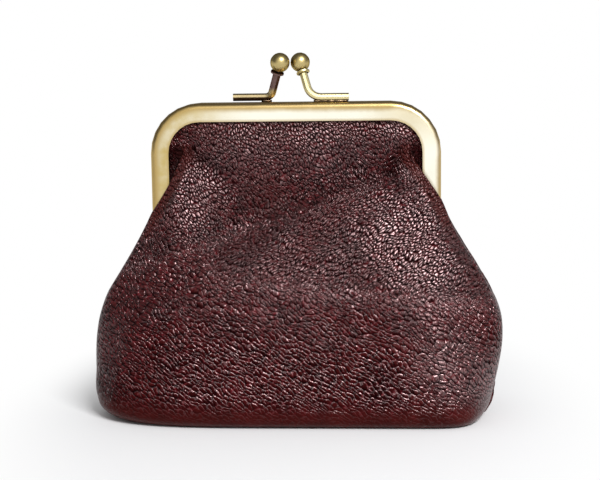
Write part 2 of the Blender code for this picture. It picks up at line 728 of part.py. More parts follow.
def mouth_rows(surface, columns):
    """Rows of points on a mouth surface, the last ones sloping down to its lower edge."""
    shares = [-2.0, *section_shares(columns), 2.0]
    rows = [[surface(share, level) for share in shares] for level in mouth_levels()[:-1]]
    for part in MOUTH_RIM_SHARES:
        row = []
        for share in shares:
            point = surface(share, HINGE_HEIGHT)
            for _ in range(RIM_ITERATIONS):
                point = surface(share, HINGE_HEIGHT - part * MOUTH_RIM_SLOPE * abs(point.y))
            row.append(point)
        rows.append(row)
    return rows


def inwards(row, thickness):
    """A row of points moved into the purse, square to the row."""
    moved = []
    for i, point in enumerate(row):
        before, after = row[max(i - 1, 0)], row[min(i + 1, len(row) - 1)]
        along = Vector((after.x - before.x, after.y - before.y, 0)).normalized()
        inner = point + Vector((-along.y, along.x, 0)) * thickness
        inner.y = min(inner.y, -HALF_CLEARANCE)
        moved.append(inner)
    return moved


def mouth_sheet(name, side, surface, columns, thickness, material, parent):
    """A mouth panel or its lining, as a sheet of one thickness. The rear one is the front one turned round."""
    outer = mouth_rows(surface, columns)
    inner = [inwards(row, thickness) for row in outer]
    width, height = len(outer[0]), len(outer)
    points = [point for row in outer + inner for point in row]
    faces = join_rings(outer, closed_rings=False)
    shift = width * height
    faces += [tuple(shift + i for i in face) for face in faces]
    rim = [*range(width)]
    rim += [row * width + width - 1 for row in range(1, height)]
    rim += [(height - 1) * width + i for i in range(width - 2, -1, -1)]
    rim += [row * width for row in range(height - 2, 0, -1)]
    for a, b in zip(rim, rim[1:] + rim[:1]):
        faces.append((a, b, shift + b, shift + a))
    points = [Vector((-side * point.x, -side * point.y, point.z)) for point in points]
    mesh = mesh_from(name, points, faces)
    shade_round(mesh, LEATHER_SHARP_DEGREES)
    return add_object(name, mesh, material, parent)


def channel_cord(name, side, material, parent):
    """The paper cord in the bottom of a channel."""
    path = arch_path(CORD_INSET, HINGE_HEIGHT + CORD_END_RISE)
    points = [Vector((x, side * CHANNEL_MIDDLE, z)) for (x, z), inward in path]
    return tube_curve(name, points, CORD_DIAMETER, CORD_BEVEL_STEPS, material, parent)


def hinge_empty(name):
    """The axis that one half of the frame turns about."""
    empty = bpy.data.objects.new(name, None)
    empty.location = (0, 0, HINGE_HEIGHT)
    bpy.context.collection.objects.link(empty)
    return empty


def build_half(half, side, tab_inset, bend_radius, brass, leather, lining, paper):
    """Everything that turns with one half of the frame."""
    hinge = hinge_empty(f"{half}_hinge_axis")
    frame_half(f"{half}_frame", side, tab_inset, brass, hinge)
    lock_arm(f"{half}_lock_arm", side, bend_radius, brass, hinge)
    lock_collar(f"{half}_lock_collar", side, brass, hinge)
    lock_ball(f"{half}_lock_ball", side, brass, hinge)
    channel_cord(f"{half}_channel_cord", side, paper, hinge)
    mouth_sheet(
        f"{half}_mouth_panel", side, mouth_leather_point, POUCH_COLUMNS // 2,
        LEATHER_THICKNESS, leather, hinge,
    )
    mouth_sheet(
        f"{half}_mouth_lining", side, mouth_lining_point, LINING_COLUMNS // 2,
        LINING_THICKNESS, lining, hinge,
    )
    return hinge


def build_pouch_half(half, side, leather, lining):
    """One half of the bag, and the half of its lining inside it."""
    pouch_half(
        f"pouch_{half}", side, POUCH_COLUMNS // 2, 0.0, LEATHER_THICKNESS,
        RIM_DROP, RIM_SLOPE, leather,
    )
    pouch_half(
        f"pouch_lining_{half}", side, LINING_COLUMNS // 2, LEATHER_THICKNESS + SEAT_GAP,
        LINING_THICKNESS, LINING_RIM_DROP, RIM_SLOPE, lining,
    )


def main():
    """Build the purse."""
    clear_scene()
    brass = make_material("antique_brass", (0.46, 0.36, 0.17), 0.32, 1.0)
    leather = make_material("burgundy_leather", (0.085, 0.018, 0.018), 0.42, 0.0)
    lining = make_material("lining_cotton", (0.055, 0.035, 0.03), 0.85, 0.0)
    paper = make_material("paper_cord", (0.62, 0.52, 0.38), 0.9, 0.0)
    rear_tab_inset = METAL_THICKNESS + SEAT_GAP
    build_half("front", -1, 0.0, FRONT_BEND_RADIUS, brass, leather, lining, paper)
    rear = build_half("rear", 1, rear_tab_inset, REAR_BEND_RADIUS, brass, leather, lining, paper)
    hinge_rivet("hinge_rivet_left", -1, rear_tab_inset, brass, rear)
    hinge_rivet("hinge_rivet_right", 1, rear_tab_inset, brass, rear)
    build_pouch_half("front", -1, leather, lining)
    build_pouch_half("rear", 1, leather, lining)


main()
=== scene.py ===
"""Looks of the kiss-lock coin purse: pebbled leather over a brass channel frame with a ball lock."""

import json
import math

import bmesh
import bpy
import numpy as np
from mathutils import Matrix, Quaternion, Vector


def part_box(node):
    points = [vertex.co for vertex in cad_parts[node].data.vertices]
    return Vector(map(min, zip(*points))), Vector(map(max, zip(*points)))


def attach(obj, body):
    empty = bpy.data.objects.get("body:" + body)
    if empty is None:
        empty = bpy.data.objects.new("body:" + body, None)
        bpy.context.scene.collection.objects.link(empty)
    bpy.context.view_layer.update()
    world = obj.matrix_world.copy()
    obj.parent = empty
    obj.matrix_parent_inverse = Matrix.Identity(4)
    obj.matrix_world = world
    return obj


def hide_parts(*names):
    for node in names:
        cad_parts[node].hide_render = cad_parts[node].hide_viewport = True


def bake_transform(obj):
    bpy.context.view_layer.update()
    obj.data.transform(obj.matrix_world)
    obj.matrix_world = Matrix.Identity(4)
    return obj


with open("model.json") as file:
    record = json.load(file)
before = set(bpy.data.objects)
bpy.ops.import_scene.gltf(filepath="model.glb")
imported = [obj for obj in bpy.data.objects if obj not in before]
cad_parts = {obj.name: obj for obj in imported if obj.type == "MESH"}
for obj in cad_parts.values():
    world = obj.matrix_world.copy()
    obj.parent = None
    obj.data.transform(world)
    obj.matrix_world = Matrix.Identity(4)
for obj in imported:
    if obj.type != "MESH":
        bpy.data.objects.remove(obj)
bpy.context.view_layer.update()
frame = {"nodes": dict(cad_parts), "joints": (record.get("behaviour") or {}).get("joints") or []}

# The soft parts are worked out in millimetres
MM = 0.001

# Brass colours
FRAME_PALE = (0.96, 0.93, 0.80, 1.0)
# Frame yellow is painted shade down the left leg and also tints the right corner; frame tan is painted shade
# along the outer edge and the inner lip
FRAME_YELLOW = (0.58, 0.44, 0.16, 1.0)
FRAME_EDGE_SHADE = (0.50, 0.35, 0.13, 1.0)
FRAME_DARK = (0.30, 0.22, 0.09, 1.0)
LOCK_PALE = (0.80, 0.70, 0.38, 1.0)
LOCK_BROWN = (0.20, 0.14, 0.06, 1.0)
LOCK_EDGE = (0.30, 0.22, 0.12, 1.0)
# The rear arm's dark colour is painted shade, and its gold is a painted highlight along the top of its foot
ARM_PAINTED_SHADE = (0.16, 0.10, 0.09, 1.0)
FOOT_HIGHLIGHT_GOLD = (0.60, 0.48, 0.26, 1.0)
ARM_SHADE = (0.05, 0.03, 0.025, 1.0)
BALL_GOLD = (0.54, 0.43, 0.19, 1.0)
BALL_EDGE = (0.14, 0.10, 0.05, 1.0)
# Braze brown is partly the braze's own colour and partly painted shade under the arms' feet
BRAZE_AND_SHADE_BROWN = (0.28, 0.20, 0.12, 1.0)

# Brass surface: fineness of its clouds and pits, then its hollows' reach and its relief's height in metres
BRASS_CLOUDS, BRASS_PITS = 90.0, 900.0
HOLLOW_REACH = 0.0016
BRASS_RELIEF = 0.00004
HOLLOW_SHADES = ((0.35, (0, 0, 0)), (0.95, (1, 1, 1)))
UNEVEN_ROUGHNESS = 0.18
# Where the frame's colour turns, in millimetres across, below the crown, or in from an edge: painted shade
# down the left leg, along the rounded outer edge and at the inner lip, and a yellower right corner
SHADED_LEFT_LEG = (-12, -36)
GOLD_CORNER = (16, 34)
GOLD_DROP = (16, 3)
EDGE_SHADE_REACH = (3.3, 1.4)
EDGE_SHADE_NARROWS = (26, 38)
LIP_SHADE_REACH = (0.9, 0.1)
# Heights over the crown between which a painted highlight runs along the top of the dark arm's foot, from
# below and from above
FOOT_HIGHLIGHT_HEIGHTS = ((1.0, 1.7), (4.4, 2.6))
# Degrees from which an edge stays sharp, and metres within which split points are joined
SHARP_ANGLE = 34
JOIN_DISTANCE = 2e-6

# Camera, as the photograph was taken
PHOTO_WIDTH = 600
CAMERA_PLACE = (0.0252, -0.3992, 0.107)
CAMERA_YAW = 3.48
CAMERA_PITCH = 7.88
CAMERA_ROLL = -0.75
FOCAL_PIXELS = 1359
SENSOR_WIDTH = 36.0

# Light
WINDOW_DISTANCE = 1.3
WINDOW_SIZE = (0.44, 0.36)
WINDOW_AZIMUTH = 26
WINDOW_ELEVATION = 40
WINDOW_POWER = 16.0
ROOM_LIGHT = 0.38
FLOOR_RADIUS = 3.0
FLOOR_FADE = (0.052, 0.098)
FLOOR_STRETCH = (1.0, 0.6, 1.0)
FLOOR_WHITE = (0.94, 0.945, 0.955, 1.0)
WHITE = (1.0, 1.0, 1.0, 1.0)
# How bright the room looks in the metal: by the sine of the height above the horizon behind the purse, and
# by the cosine of the angle from straight in front of it
ROOM_SHADES = (
    (0.0, (1.0, 1.0, 1.0)), (0.05, (1.0, 1.0, 1.0)), (0.14, (0.25, 0.25, 0.26)), (1.0, (0.10, 0.10, 0.11)),
)
FRONT_SHADES = (
    (0.0, (0.0, 0.0, 0.0)), (0.40, (0.08, 0.08, 0.085)), (0.80, (0.80, 0.80, 0.79)), (1.0, (1.0, 1.0, 0.98)),
)
FRONT_DIRECTION = (0.20, -0.95, 0.22)
# What is left of the room's light towards its front
BEHIND_DIMMED = (0.2, 0.2, 0.2, 1.0)

# Frame sizes, in millimetres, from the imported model
frame_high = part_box("front_frame")[1]
HALF_FRAME = frame_high.x / MM
CROWN = frame_high.z / MM
HINGE = frame["joints"][0]["pos_m"][2] / MM
CHANNEL_FACE = 5.4
CORNER_RADIUS = 14.6
LEG_END = HINGE + 3.4

# Braze under the arms' feet, in millimetres
BRAZE_SEED = 5
BRAZE_STEP = 0.5
BRAZE_SIDES = 12
BRAZE_DEPTH = 2.3
BRAZE_WIDTH = 0.8
BRAZE_HEIGHT = 0.5
BRAZE_RISE = 0.32
FRONT_BRAZE = (5.6, 15.6)
REAR_BRAZE = (-10.0, -7.0)

# Leather, in millimetres
LEATHER_THICKNESS = 1.2
SKIVED_THICKNESS = 0.7
LINING_THICKNESS = 0.4
LINING_GAP = 0.35
SEAM_GAP = 0.15
TUCK_INSET = 2.9
MOUTH_INSET = 5.7
TUCK_DEPTH = 3.45
LINING_TUCK_DEPTH = 1.95
BASE_ROUNDING = 5.0
ROW_STEP = 0.62
VISIBLE_COLUMNS = 100
SIDE_COLUMNS = 26
FLOOR_ROWS = 26
LINING_ROWS = 90
SEAM_INSET = 0.8
HINGE_SEAM = 43.2
SURFACE_WAVES = ((0.22, 21), (0.10, 9))
FRONT, REAR = -1, 1
# Heights between which the leather's shape changes
SEAMS_DRAW_IN = (22, 44)
SEAM_TO_FOLD = (36.5, 42.5)
STEP_STRAIGHTENS = (76, 80)
FLAT_SINKS = (82, 87)
FOLDS_FADE = (82, 86)
FOLDS_GROW = (1.5, 8)
SKIVED_SIDES = (38, 48)
FOLD_STARTS, FOLD_ENDS = (52, 60), (79.0, 81.5)
# Columns beyond the outermost line between which it changes: its folds, skiving, band of painted red light
# and shade, and side under the fold with painted shade
FOLD_COLUMNS, SKIVED_COLUMNS = (-14, -1), (-12, 4)
RED_START, RED_END = (-12, -7), (0, 3)
UNLIT_COLUMNS = (0, 4)
# Upward tilts between which it is rubbed shiny, and how much
SHINY_TILT = (0.10, 0.42, 0.25)
# Heights between which the red of the base fades, and its amount
RED_BASE = (1.5, 9, 0.55)

# Leather's surface, by zone: the pouch, the band between the folds, the part below the crown. A border is
# how much of the place across is added to the height, and the heights between which the sum passes it
BELLY_BORDER = (0.1, 36, 46)
VALLEY_BORDER = (-0.33, 57, 64)
LEFT_FOLD_BORDER = (-30, -19)
# Angle, size, stretch and unevenness of the pebbles, and their relief, the painted shade on their undersides
# and their glints
PEBBLES = ((-37, 1.0, 1.9, 0.80), (44, 0.68, 2.1, 0.95), (-64, 0.74, 1.8, 0.95))
PEBBLE_RELIEF = (0.165, 0.26, 0.25)
UNDERSIDE_SHADE_SHARE = (0.65, 0.8, 0.8)
GLINTS = (1.0, 1.8, 1.5)
# How much the rows of pebbles waver and how finely, and the heights between which they grow from the base
WAVER, WAVER_SCALE = 4.0, 0.14
GRAIN_GROWS = (1.0, 13)
CRUMPLE_RELIEF = 0.34
DOME_RELIEF = 0.12
STEP_RELIEF = 0.05
PORE_RELIEF = 0.04
# Steps in from a pebble's edge: its side, the bright rim of a plain pebble, the bright face of a worn one
PEBBLE_SIDE = 0.26
RIM_START, RIM_END = (0.0, 0.04), (0.30, 0.14)
FACE_START = (0.02, 0.13)
# Steps up a pebble: its underside, which gets painted shade, and where its rim and its face catch the light
UNDERSIDE = (0.05, -0.45)
RIM_LIT = (-0.05, 0.15)
FACE_LIT = (-0.55, 0.05)
GLINT_LEAN = 0.3
# Where the glints grow to the right and fade at the lower left, and by how much
BRIGHT_RIGHT = (24, 44, 0.6)
GLINTS_AT_MOST = 1.8
DIM_LEFT, DIM_LOW = (-26, -48), (50, 30)
DIM_SHARE = 0.6
PEBBLE_SHADES = ((0.35, (0.020, 0.0022, 0.0024)), (0.65, (0.055, 0.0050, 0.0052)))
# Crease colours run from near black, painted shade in the creases, to the hide's crimson
CREASE_SHADES = ((0.46, (0.006, 0.0012, 0.0016)), (0.68, (0.135, 0.0120, 0.0165)))
PAINTED_RED_LIGHT_AND_SHADE = (0.075, 0.013, 0.011, 1.0)
UNLIT_BROWN = (0.006, 0.002, 0.002, 1.0)
# Painted shade on the pebbles' undersides
UNDERSIDE_SHADE_BROWN = (0.005, 0.0009, 0.0010, 1.0)
# Gloss of worn leather, sheen from straight on to aslant, and roughness from plain to worn
WORN_GLOSS = 0.14
SHEEN = (0.003, 0.163)
LEATHER_ROUGHNESS = (0.27, 0.39)
LEATHER_IOR = 1.9
LEATHER_TINT = (1.0, 0.67, 0.68, 1.0)
# Lining and cords
COTTON_SHADES = ((0.1, (0.020, 0.012, 0.011)), (0.8, (0.075, 0.050, 0.042)))
COTTON_RELIEF = 0.00012
PAPER_SHADES = ((0.0, (0.40, 0.31, 0.20)), (1.0, (0.66, 0.56, 0.42)))
PAPER_RELIEF = 0.0002
PAPER_TWIST = 420.0

# Where the leather is rubbed shiny: across, up, reach and amount
SHINY_PLACES = (
    (27, 55, 8, 0.9), (36, 49, 9, 1), (43, 41, 8, 0.3), (38, 60, 8, 1), (34, 70, 4, 0.8),
    (-32, 71, 4, 0.8), (-30, 67, 6, 1), (-29, 60, 6, 0.7), (-47, 38, 7, 0.3), (-57, 26, 8, 0.9),
    (54, 11, 6, 0.9), (44, 19, 8, 0.9), (2, 42, 13, 0.2), (-12, 52, 9, 0.2), (-14, 84, 14, 0.7),
    (12, 83, 12, 0.6), (30, 84.5, 5, 0.9), (-26, 73, 4, 0.3), (6, 78, 8, 0.3),
)
# Where red-brown light and shade are painted on the ear tips, the folds and the base corners, and where shade
# is painted on the leather out of the light
RED_LIGHT_AND_SHADE_PLACES = (
    (32, 75.8, 2.3, 0.9), (-32.9, 78, 1.8, 0.8), (-29.5, 75.5, 2, 0.4), (-7, 66.5, 7, 0.3),
    (52, 3, 5, 0.3), (-54, 4, 6, 0.3),
)
UNLIT_PLACES = (
    (1.5, 67.3, 7, 0.25), (14, 71, 6, 0.25), (22, 73, 4, 0.25), (-11.6, 63, 6, 0.25), (-23, 56.5, 5, 0.2),
    (30.6, 79, 1.5, 0.7), (28.9, 75.5, 1.9, 0.8), (28.5, 72, 2.2, 0.8), (29.4, 68.5, 2.4, 0.5),
    (-30.6, 78.8, 1.4, 0.8), (-27.5, 76.4, 2, 0.85), (-24, 74.2, 2.4, 0.65), (-20, 72, 2.8, 0.4),
)
WELT_WIDTH = 3.2
WELT_DEPTH = 0.22

# Half widths of the leather by height, as the photograph's left and right outlines show them
LEFT_REACH = (
    (0, 54.6), (1.2, 56.9), (3, 59), (6, 60), (15.5, 59.7), (25, 59), (30, 58.1),
    (34.7, 56.6), (39.5, 54.3), (44.3, 51.3), (48.9, 48.5), (53.5, 45.9), (58.1, 43.5), (60.4, 42.4),
    (64.5, 39.7), (68.6, 37.2), (72.5, 35.2), (76.5, 33.5), (79.6, 32.6), (83, 32.2), (89.6, 32),
)
RIGHT_REACH = (
    (0, 54.6), (3.3, 56.6), (8, 57.7), (15.5, 59.1), (25, 60.1), (29.8, 59.8), (34.5, 58.3),
    (39.2, 56), (43.9, 53.4), (48.5, 50.5), (53, 47.7), (57.6, 45.3), (61.5, 43.7), (64.6, 42.2),
    (68.5, 39.6), (72.7, 36.7), (75.8, 34.8), (78.7, 33.4), (82.5, 32.8), (89.6, 32.6),
)
# Depth of the leather's middle by height, before its rounding at the base
MIDDLE_DEPTH = (
    (0, 24.4), (6, 24.6), (14, 24.5), (24, 23.9), (34, 22), (42, 19.2), (50, 15.6),
    (58, 11.9), (66, 8.6), (72, 7), (78, 6), (83, 5), (86.8, 3.6), (89.6, 3.45),
)
# Depth of the outermost line, where the leather turns to the side or folds over the leg
RIDGE_DEPTH = (
    (0, 4), (10, 6), (20, 8), (40, 9), (47, 8.4), (54, 7.3), (60, 6.6), (68, 6.2),
    (73, 5.7), (77, 5.1), (80, 4.6), (89.6, 4.4),
)
# Squareness of the cross section by height, on the left and on the right, and how sharp its corner is
LEFT_SQUARENESS = ((0, 4.3), (12, 4.1), (30, 3.2), (47, 2.4), (66, 2.1), (80, 2.2), (89.6, 3))
RIGHT_SQUARENESS = (
    (0, 17), (5, 13), (10, 8.5), (16, 5.6), (24, 4.2), (34, 3.2), (47, 2.5), (66, 2.1),
    (80, 2.2), (89.6, 3),
)
RIGHT_SHARPNESS = ((0, 0.95), (5, 0.85), (10, 0.7), (18, 0.52), (30, 0.5), (89.6, 0.5))
# The way past the hinge, behind its tabs and rivet: height, then half width and depth of the leather's
# turn, of its inner bend and of its edge
HINGE_TURN = (
    (41, 45.4, 4, 42.9, 2.2, 41.9, 0.22), (43.5, 44.4, 3.9, 41.6, 3, 40.4, 0.30),
    (45.5, 43.4, 3.9, 40.2, 3.15, 39.2, 0.45), (47.5, 41.8, 4.3, 39.3, 3.3, 38.8, 1.10),
    (49.5, 39.4, 4.8, 38.2, 3.5, 38.9, 2.30), (51.5, 36.8, 4.95, 37.2, 3.6, 39.3, 3.20),
    (53.5, 36.3, 4.95, 36.9, 3.6, 39.6, 3.45),
)
# Heights between which the folds over the legs open out into the flat leather under the crown
LEFT_APEX = (77.6, 81.2)
RIGHT_APEX = (76.6, 80.4)
# Half widths of the lining by height
LINING_REACH = (
    (0, 51.5), (4, 55), (14, 57), (26, 56), (34, 51), (38, 46), (41, 41),
    (44, 38.7), (48, 37.8), (51, 37.2), (54, 36.6), (77.9, 36.6),
)
# Where the lining draws back from the leather's deep valleys: across, up, reach and amount
LINING_CLEAR_PLACES = ((29, 74.5, 4.5, 1.1), (-29, 74.5, 4.5, 1.1), (20, 72, 5, 0.5), (-20, 72, 5, 0.5))
# Folds of the front, each a line of places across and up with its depth and its width
FRONT_FOLDS = (
    # The long valley below the crown, from the right fold down to the left
    ((31, 71.5, -1.4, 2.6), (22, 73.5, -1.7, 4.2), (12, 72.5, -2, 4.8), (2, 67.5, -2.2, 5.2),
     (-8, 61.5, -2.2, 5.2), (-16, 56.8, -1.9, 5.2), (-23, 53.5, -1.2, 5.5), (-31, 50, 0, 6)),
    # The valley beside the left fold
    ((-33.4, 81.8, -0.8, 1.3), (-31.2, 79.4, -1.6, 1.6), (-28.2, 76.8, -1.8, 2.1), (-24.2, 74.2, -1.7, 3),
     (-18, 70.5, -1.3, 4.4), (-11, 67, 0, 5)),
    # The short deep valley beside the right fold
    ((32.4, 81, -0.8, 1.4), (30.5, 78, -1.7, 1.7), (29.1, 75, -2.1, 2), (28.5, 71.8, -2, 2.3),
     (28.8, 67, -1.2, 3.2), (29.6, 60, 0, 4)),
    # The fold over the left leg, and its swell
    ((-32.4, 79.4, 0.6, 1.2), (-33.2, 76.5, 1.2, 1.7), (-34, 72, 1.5, 2.4), (-34.6, 67, 1.7, 3.2),
     (-35.6, 62, 1.8, 3.9), (-37.6, 55, 1.1, 5), (-40.5, 46, 0, 6)),
    # The fold over the right leg
    ((32.9, 79, 0.6, 1.2), (33.9, 76.2, 1.2, 1.6), (35.6, 71.5, 1.2, 2.3), (38.2, 65.5, 1, 3.2),
     (40, 60, 0.7, 4), (42, 54, 0, 5)),
    # The swell of the belly's right shoulder
    ((18, 51, 0, 8), (27, 51, 0.9, 8), (37, 49, 1.5, 7.5), (44, 44, 0.6, 7), (49, 39, 0, 6)),
    # The crest that runs to the right corner of the base
    ((33, 33, 0, 5), (39, 25.5, 0.9, 4.2), (45, 17, 1.2, 3.4), (49.5, 9.5, 0.6, 2.6), (52, 4, 0, 2)),
    # The crest that runs to the left corner of the base
    ((-42, 34, 0, 5), (-47, 25, 0.5, 4.2), (-51, 15, 0.7, 3.4), (-53.5, 7, 0.3, 2.4)),
)


# Tools

def new_object(name, data):
    """An object in the scene with its data."""
    thing = bpy.data.objects.new(name, data)
    bpy.context.scene.collection.objects.link(thing)
    return thing


def direction(azimuth, elevation):
    """A unit vector towards the front, by degrees to the right and upwards."""
    azimuth, elevation = math.radians(azimuth), math.radians(elevation)
    level = math.cos(elevation)
    return Vector((math.sin(azimuth) * level, -math.cos(azimuth) * level, math.sin(elevation)))


def smooth_table(pairs):
    """A smooth curve through (place, value) pairs, as a function of an array of places."""
    places, values = (np.array(column, float) for column in zip(*pairs))
    slopes = np.gradient(values, places)

    def read(place):
        place = np.clip(np.asarray(place, float), places[0], places[-1])
        step = np.clip(np.searchsorted(places, place) - 1, 0, len(places) - 2)
        span = places[step + 1] - places[step]
        t = (place - places[step]) / span
        low, high = values[step], values[step + 1]
        return (
            low * (1 + 2 * t) * (1 - t) ** 2 + high * t * t * (3 - 2 * t)
            + span * t * (1 - t) * (slopes[step] * (1 - t) - slopes[step + 1] * t)
        )

    return read


def rise(low, high, value):
    """Rise smoothly from 0 at low to 1 at high."""
    share = np.clip((np.asarray(value, float) - low) / (high - low), 0, 1)
    return share * share * (3 - 2 * share)


def mix(a, b, share):
    """A value between a and b."""
    return a + (b - a) * share


def through(points, steps):
    """A smooth line through points, as an array with `steps` points in each stretch."""
    points = np.array(points, float)
    padded = np.vstack([2 * points[0] - points[1], points, 2 * points[-1] - points[-2]])
    found = []
    for i in range(1, len(padded) - 2):
        t = np.linspace(0, 1, steps, endpoint=False)[:, None]
        a, b, c, d = padded[i - 1:i + 3]
        found.append(0.5 * (
            2 * b + (c - a) * t + (2 * a - 5 * b + 4 * c - d) * t ** 2 + (3 * b - a - 3 * c + d) * t ** 3
        ))
    found.append(points[-1:])
    return np.vstack(found)


def lengths_along(line):
    """How far along a line each of its points is."""
    return np.concatenate([[0], np.cumsum(np.linalg.norm(np.diff(line, axis=0), axis=1))])


def spaced(line, count):
    """The line's points moved to even steps along it."""
    lengths = lengths_along(line)
    wanted = np.linspace(0, lengths[-1], count)
    return np.stack([np.interp(wanted, lengths, line[:, i]) for i in range(line.shape[1])], axis=1)


def tube(name, rings, material):
    """A closed tube through rings of points in millimetres, as a mesh."""
    count, sides = rings.shape[:2]
    faces = [
        (i * sides + j, (i + 1) * sides + j, (i + 1) * sides + (j + 1) % sides, i * sides + (j + 1) % sides)
        for i in range(count - 1) for j in range(sides)
    ]
    faces.append(tuple(range(sides)))
    faces.append(tuple((count - 1) * sides + j for j in reversed(range(sides))))
    mesh = bpy.data.meshes.new(name)
    mesh.from_pydata((rings.reshape(-1, 3) * MM).tolist(), [], faces)
    mesh.materials.append(material)
    return mesh


def grid_normals(grid):
    """Unit normals of a grid of points."""
    along = np.gradient(grid, axis=1)
    across = np.gradient(grid, axis=0)
    normal = np.cross(along, across)
    return normal / np.maximum(np.linalg.norm(normal, axis=2, keepdims=True), 1e-9)


def smooth_noise(x, z, size, seed):
    """Soft seeded noise of the given feature size over places in a plane, from -1 to 1."""
    random = np.random.default_rng(seed)
    total = np.zeros_like(x)
    waves = 14
    for _ in range(waves):
        angle, phase = random.uniform(0, math.tau, 2)
        pitch = size * random.uniform(0.7, 1.6)
        total += np.sin((x * math.cos(angle) + z * math.sin(angle)) * math.tau / pitch + phase)
    return total / math.sqrt(waves)


def fold_line(x, z, points):
    """How deep a fold is at each place. Its points are (x, z, depth, width), with soft ends."""
    line = through(points, 12)
    best = np.full(x.shape, 1e9)
    depth = np.zeros_like(x)
    for px, pz, amount, width in line:
        away = ((x - px) ** 2 + (z - pz) ** 2) / (width * width)
        nearer = away < best
        best = np.where(nearer, away, best)
        depth = np.where(nearer, amount, depth)
    return depth * np.exp(-best)


# Leather panels

def arch_half_width(height, inset):
    """Half the width of the frame's arch at a height, at an inset from its outer edge."""
    radius = CORNER_RADIUS - inset
    above = np.maximum(0.0, height - (CROWN - CORNER_RADIUS))
    return HALF_FRAME - inset - radius + math.sqrt(max(0.0, radius * radius - above * above))


middle_depth, ridge_depth = smooth_table(MIDDLE_DEPTH), smooth_table(RIDGE_DEPTH)
hinge_turn = [smooth_table([(row[0], row[i]) for row in HINGE_TURN]) for i in range(1, 7)]
LEFT = {
    "reach": smooth_table(LEFT_REACH), "square": smooth_table(LEFT_SQUARENESS),
    "sharp": lambda height: 0.5, "apex": LEFT_APEX,
}
RIGHT = {
    "reach": smooth_table(RIGHT_REACH), "square": smooth_table(RIGHT_SQUARENESS),
    "sharp": smooth_table(RIGHT_SHARPNESS), "apex": RIGHT_APEX,
}


def base_rounding(height):
    """How far a wall draws in towards the base."""
    share = min(1.0, height / BASE_ROUNDING)
    return BASE_ROUNDING * (1 - math.sqrt(max(0.0, 1 - (1 - share) ** 2)))


def curved_line(half, deep, ridge, square, sharp, count=200):
    """From the middle to an outermost point, as (x, depth) points."""
    share = np.sin(np.linspace(0, math.pi / 2, count))
    bulge = np.maximum(0.0, 1 - share ** square) ** sharp
    return np.stack([share * half, ridge + (deep - ridge) * bulge], axis=1)


def front_line(height, half_of):
    """From the middle to the outermost line, as (x, depth) points of one side at a height."""
    half = half_of["reach"](height)
    deep = middle_depth(height) - base_rounding(height)
    ridge = min(ridge_depth(height), deep)
    return curved_line(half, deep, ridge, half_of["square"](height), half_of["sharp"](height))


def seam_half_width(height, half_of):
    """Half the width between the side seams below the hinge."""
    seam = half_of["reach"](height) - SEAM_INSET
    return mix(seam, HINGE_SEAM, rise(*SEAMS_DRAW_IN, height))


def side_line(height, half_of):
    """From the outermost line to the seam, or under the fold into the channel."""
    half, ridge = half_of["reach"](height), ridge_depth(height)
    seam = seam_half_width(height, half_of)
    bag = np.array([
        (half - 0.1, ridge - 2.5), (mix(seam, half, 0.4), min(4.4, ridge * 0.6)), (seam, 1.2),
        (seam - 1.3, SEAM_GAP + 0.05),
    ])
    turn_x, turn_y, lip_x, lip_y, edge_x, edge_y = (read(height) for read in hinge_turn)
    tuck = arch_half_width(height, TUCK_INSET)
    step = mix(turn_y, ridge - 0.15, rise(*STEP_STRAIGHTENS, height))
    held = np.array([
        (half - 0.9, max(ridge - 1.0, step + 0.05)), (min(turn_x, half - 0.3), step),
        (min(lip_x, arch_half_width(height, MOUTH_INSET)), lip_y), (min(edge_x, tuck), edge_y),
    ])
    points = mix(bag, held, rise(*SEAM_TO_FOLD, height))
    return through([(half, ridge), *points], 14)


def flat_lines(height):
    """The same two lines where no fold stands: out under the crown and straight into the channel."""
    tuck = arch_half_width(height, TUCK_INSET)
    break_x = min(33.4, tuck - 3.2)
    level = max(TUCK_DEPTH, mix(4.3, TUCK_DEPTH, rise(*FLAT_SINKS, height)))
    deep = max(middle_depth(height), level)
    front = curved_line(break_x, deep, level, 2.4, 0.8)
    mouth = min(arch_half_width(height, MOUTH_INSET), tuck - 1.5)
    side = through([
        (break_x, level), (mix(break_x, mouth, 0.5), mix(level, TUCK_DEPTH, 0.35)),
        (max(mouth, break_x + 0.8), mix(level, TUCK_DEPTH, 0.75)), (tuck, TUCK_DEPTH),
    ], 14)
    return front, side


def wall_levels():
    """Heights of the rows from the base to the crown, closer where the base rounds."""
    rounding = [BASE_ROUNDING * (1 - math.cos(i * math.pi / 20)) for i in range(10)]
    rows = int((CROWN - TUCK_INSET - BASE_ROUNDING) / ROW_STEP)
    return rounding + list(np.linspace(BASE_ROUNDING, CROWN - TUCK_INSET, rows))


def half_row(height, half_of):
    """One side of a row, from the middle to the panel's edge, as (x, depth) points."""
    open_share = rise(*half_of["apex"], height)
    pair = []
    if open_share < 1:
        pair.append((front_line(height, half_of), side_line(height, half_of)))
    if open_share > 0:
        pair.append(flat_lines(height))
    rows = [
        np.vstack([spaced(front, VISIBLE_COLUMNS + 1), spaced(side, SIDE_COLUMNS + 1)[1:]])
        for front, side in pair
    ]
    return rows[0] if len(rows) == 1 else mix(rows[0], rows[1], open_share)


def whole_row(left, right, height):
    """A row from left to right, in space, of two sides' (x, depth) points."""
    flat = np.vstack([left[:0:-1] * (-1, 1), right])
    return np.column_stack([flat[:, 0], -flat[:, 1], np.full(len(flat), height)])


def wall_grid():
    """The panel's wall, row by row from the base to the crown, each row from left to right."""
    return np.array([
        whole_row(half_row(height, LEFT), half_row(height, RIGHT), height) for height in wall_levels()
    ])


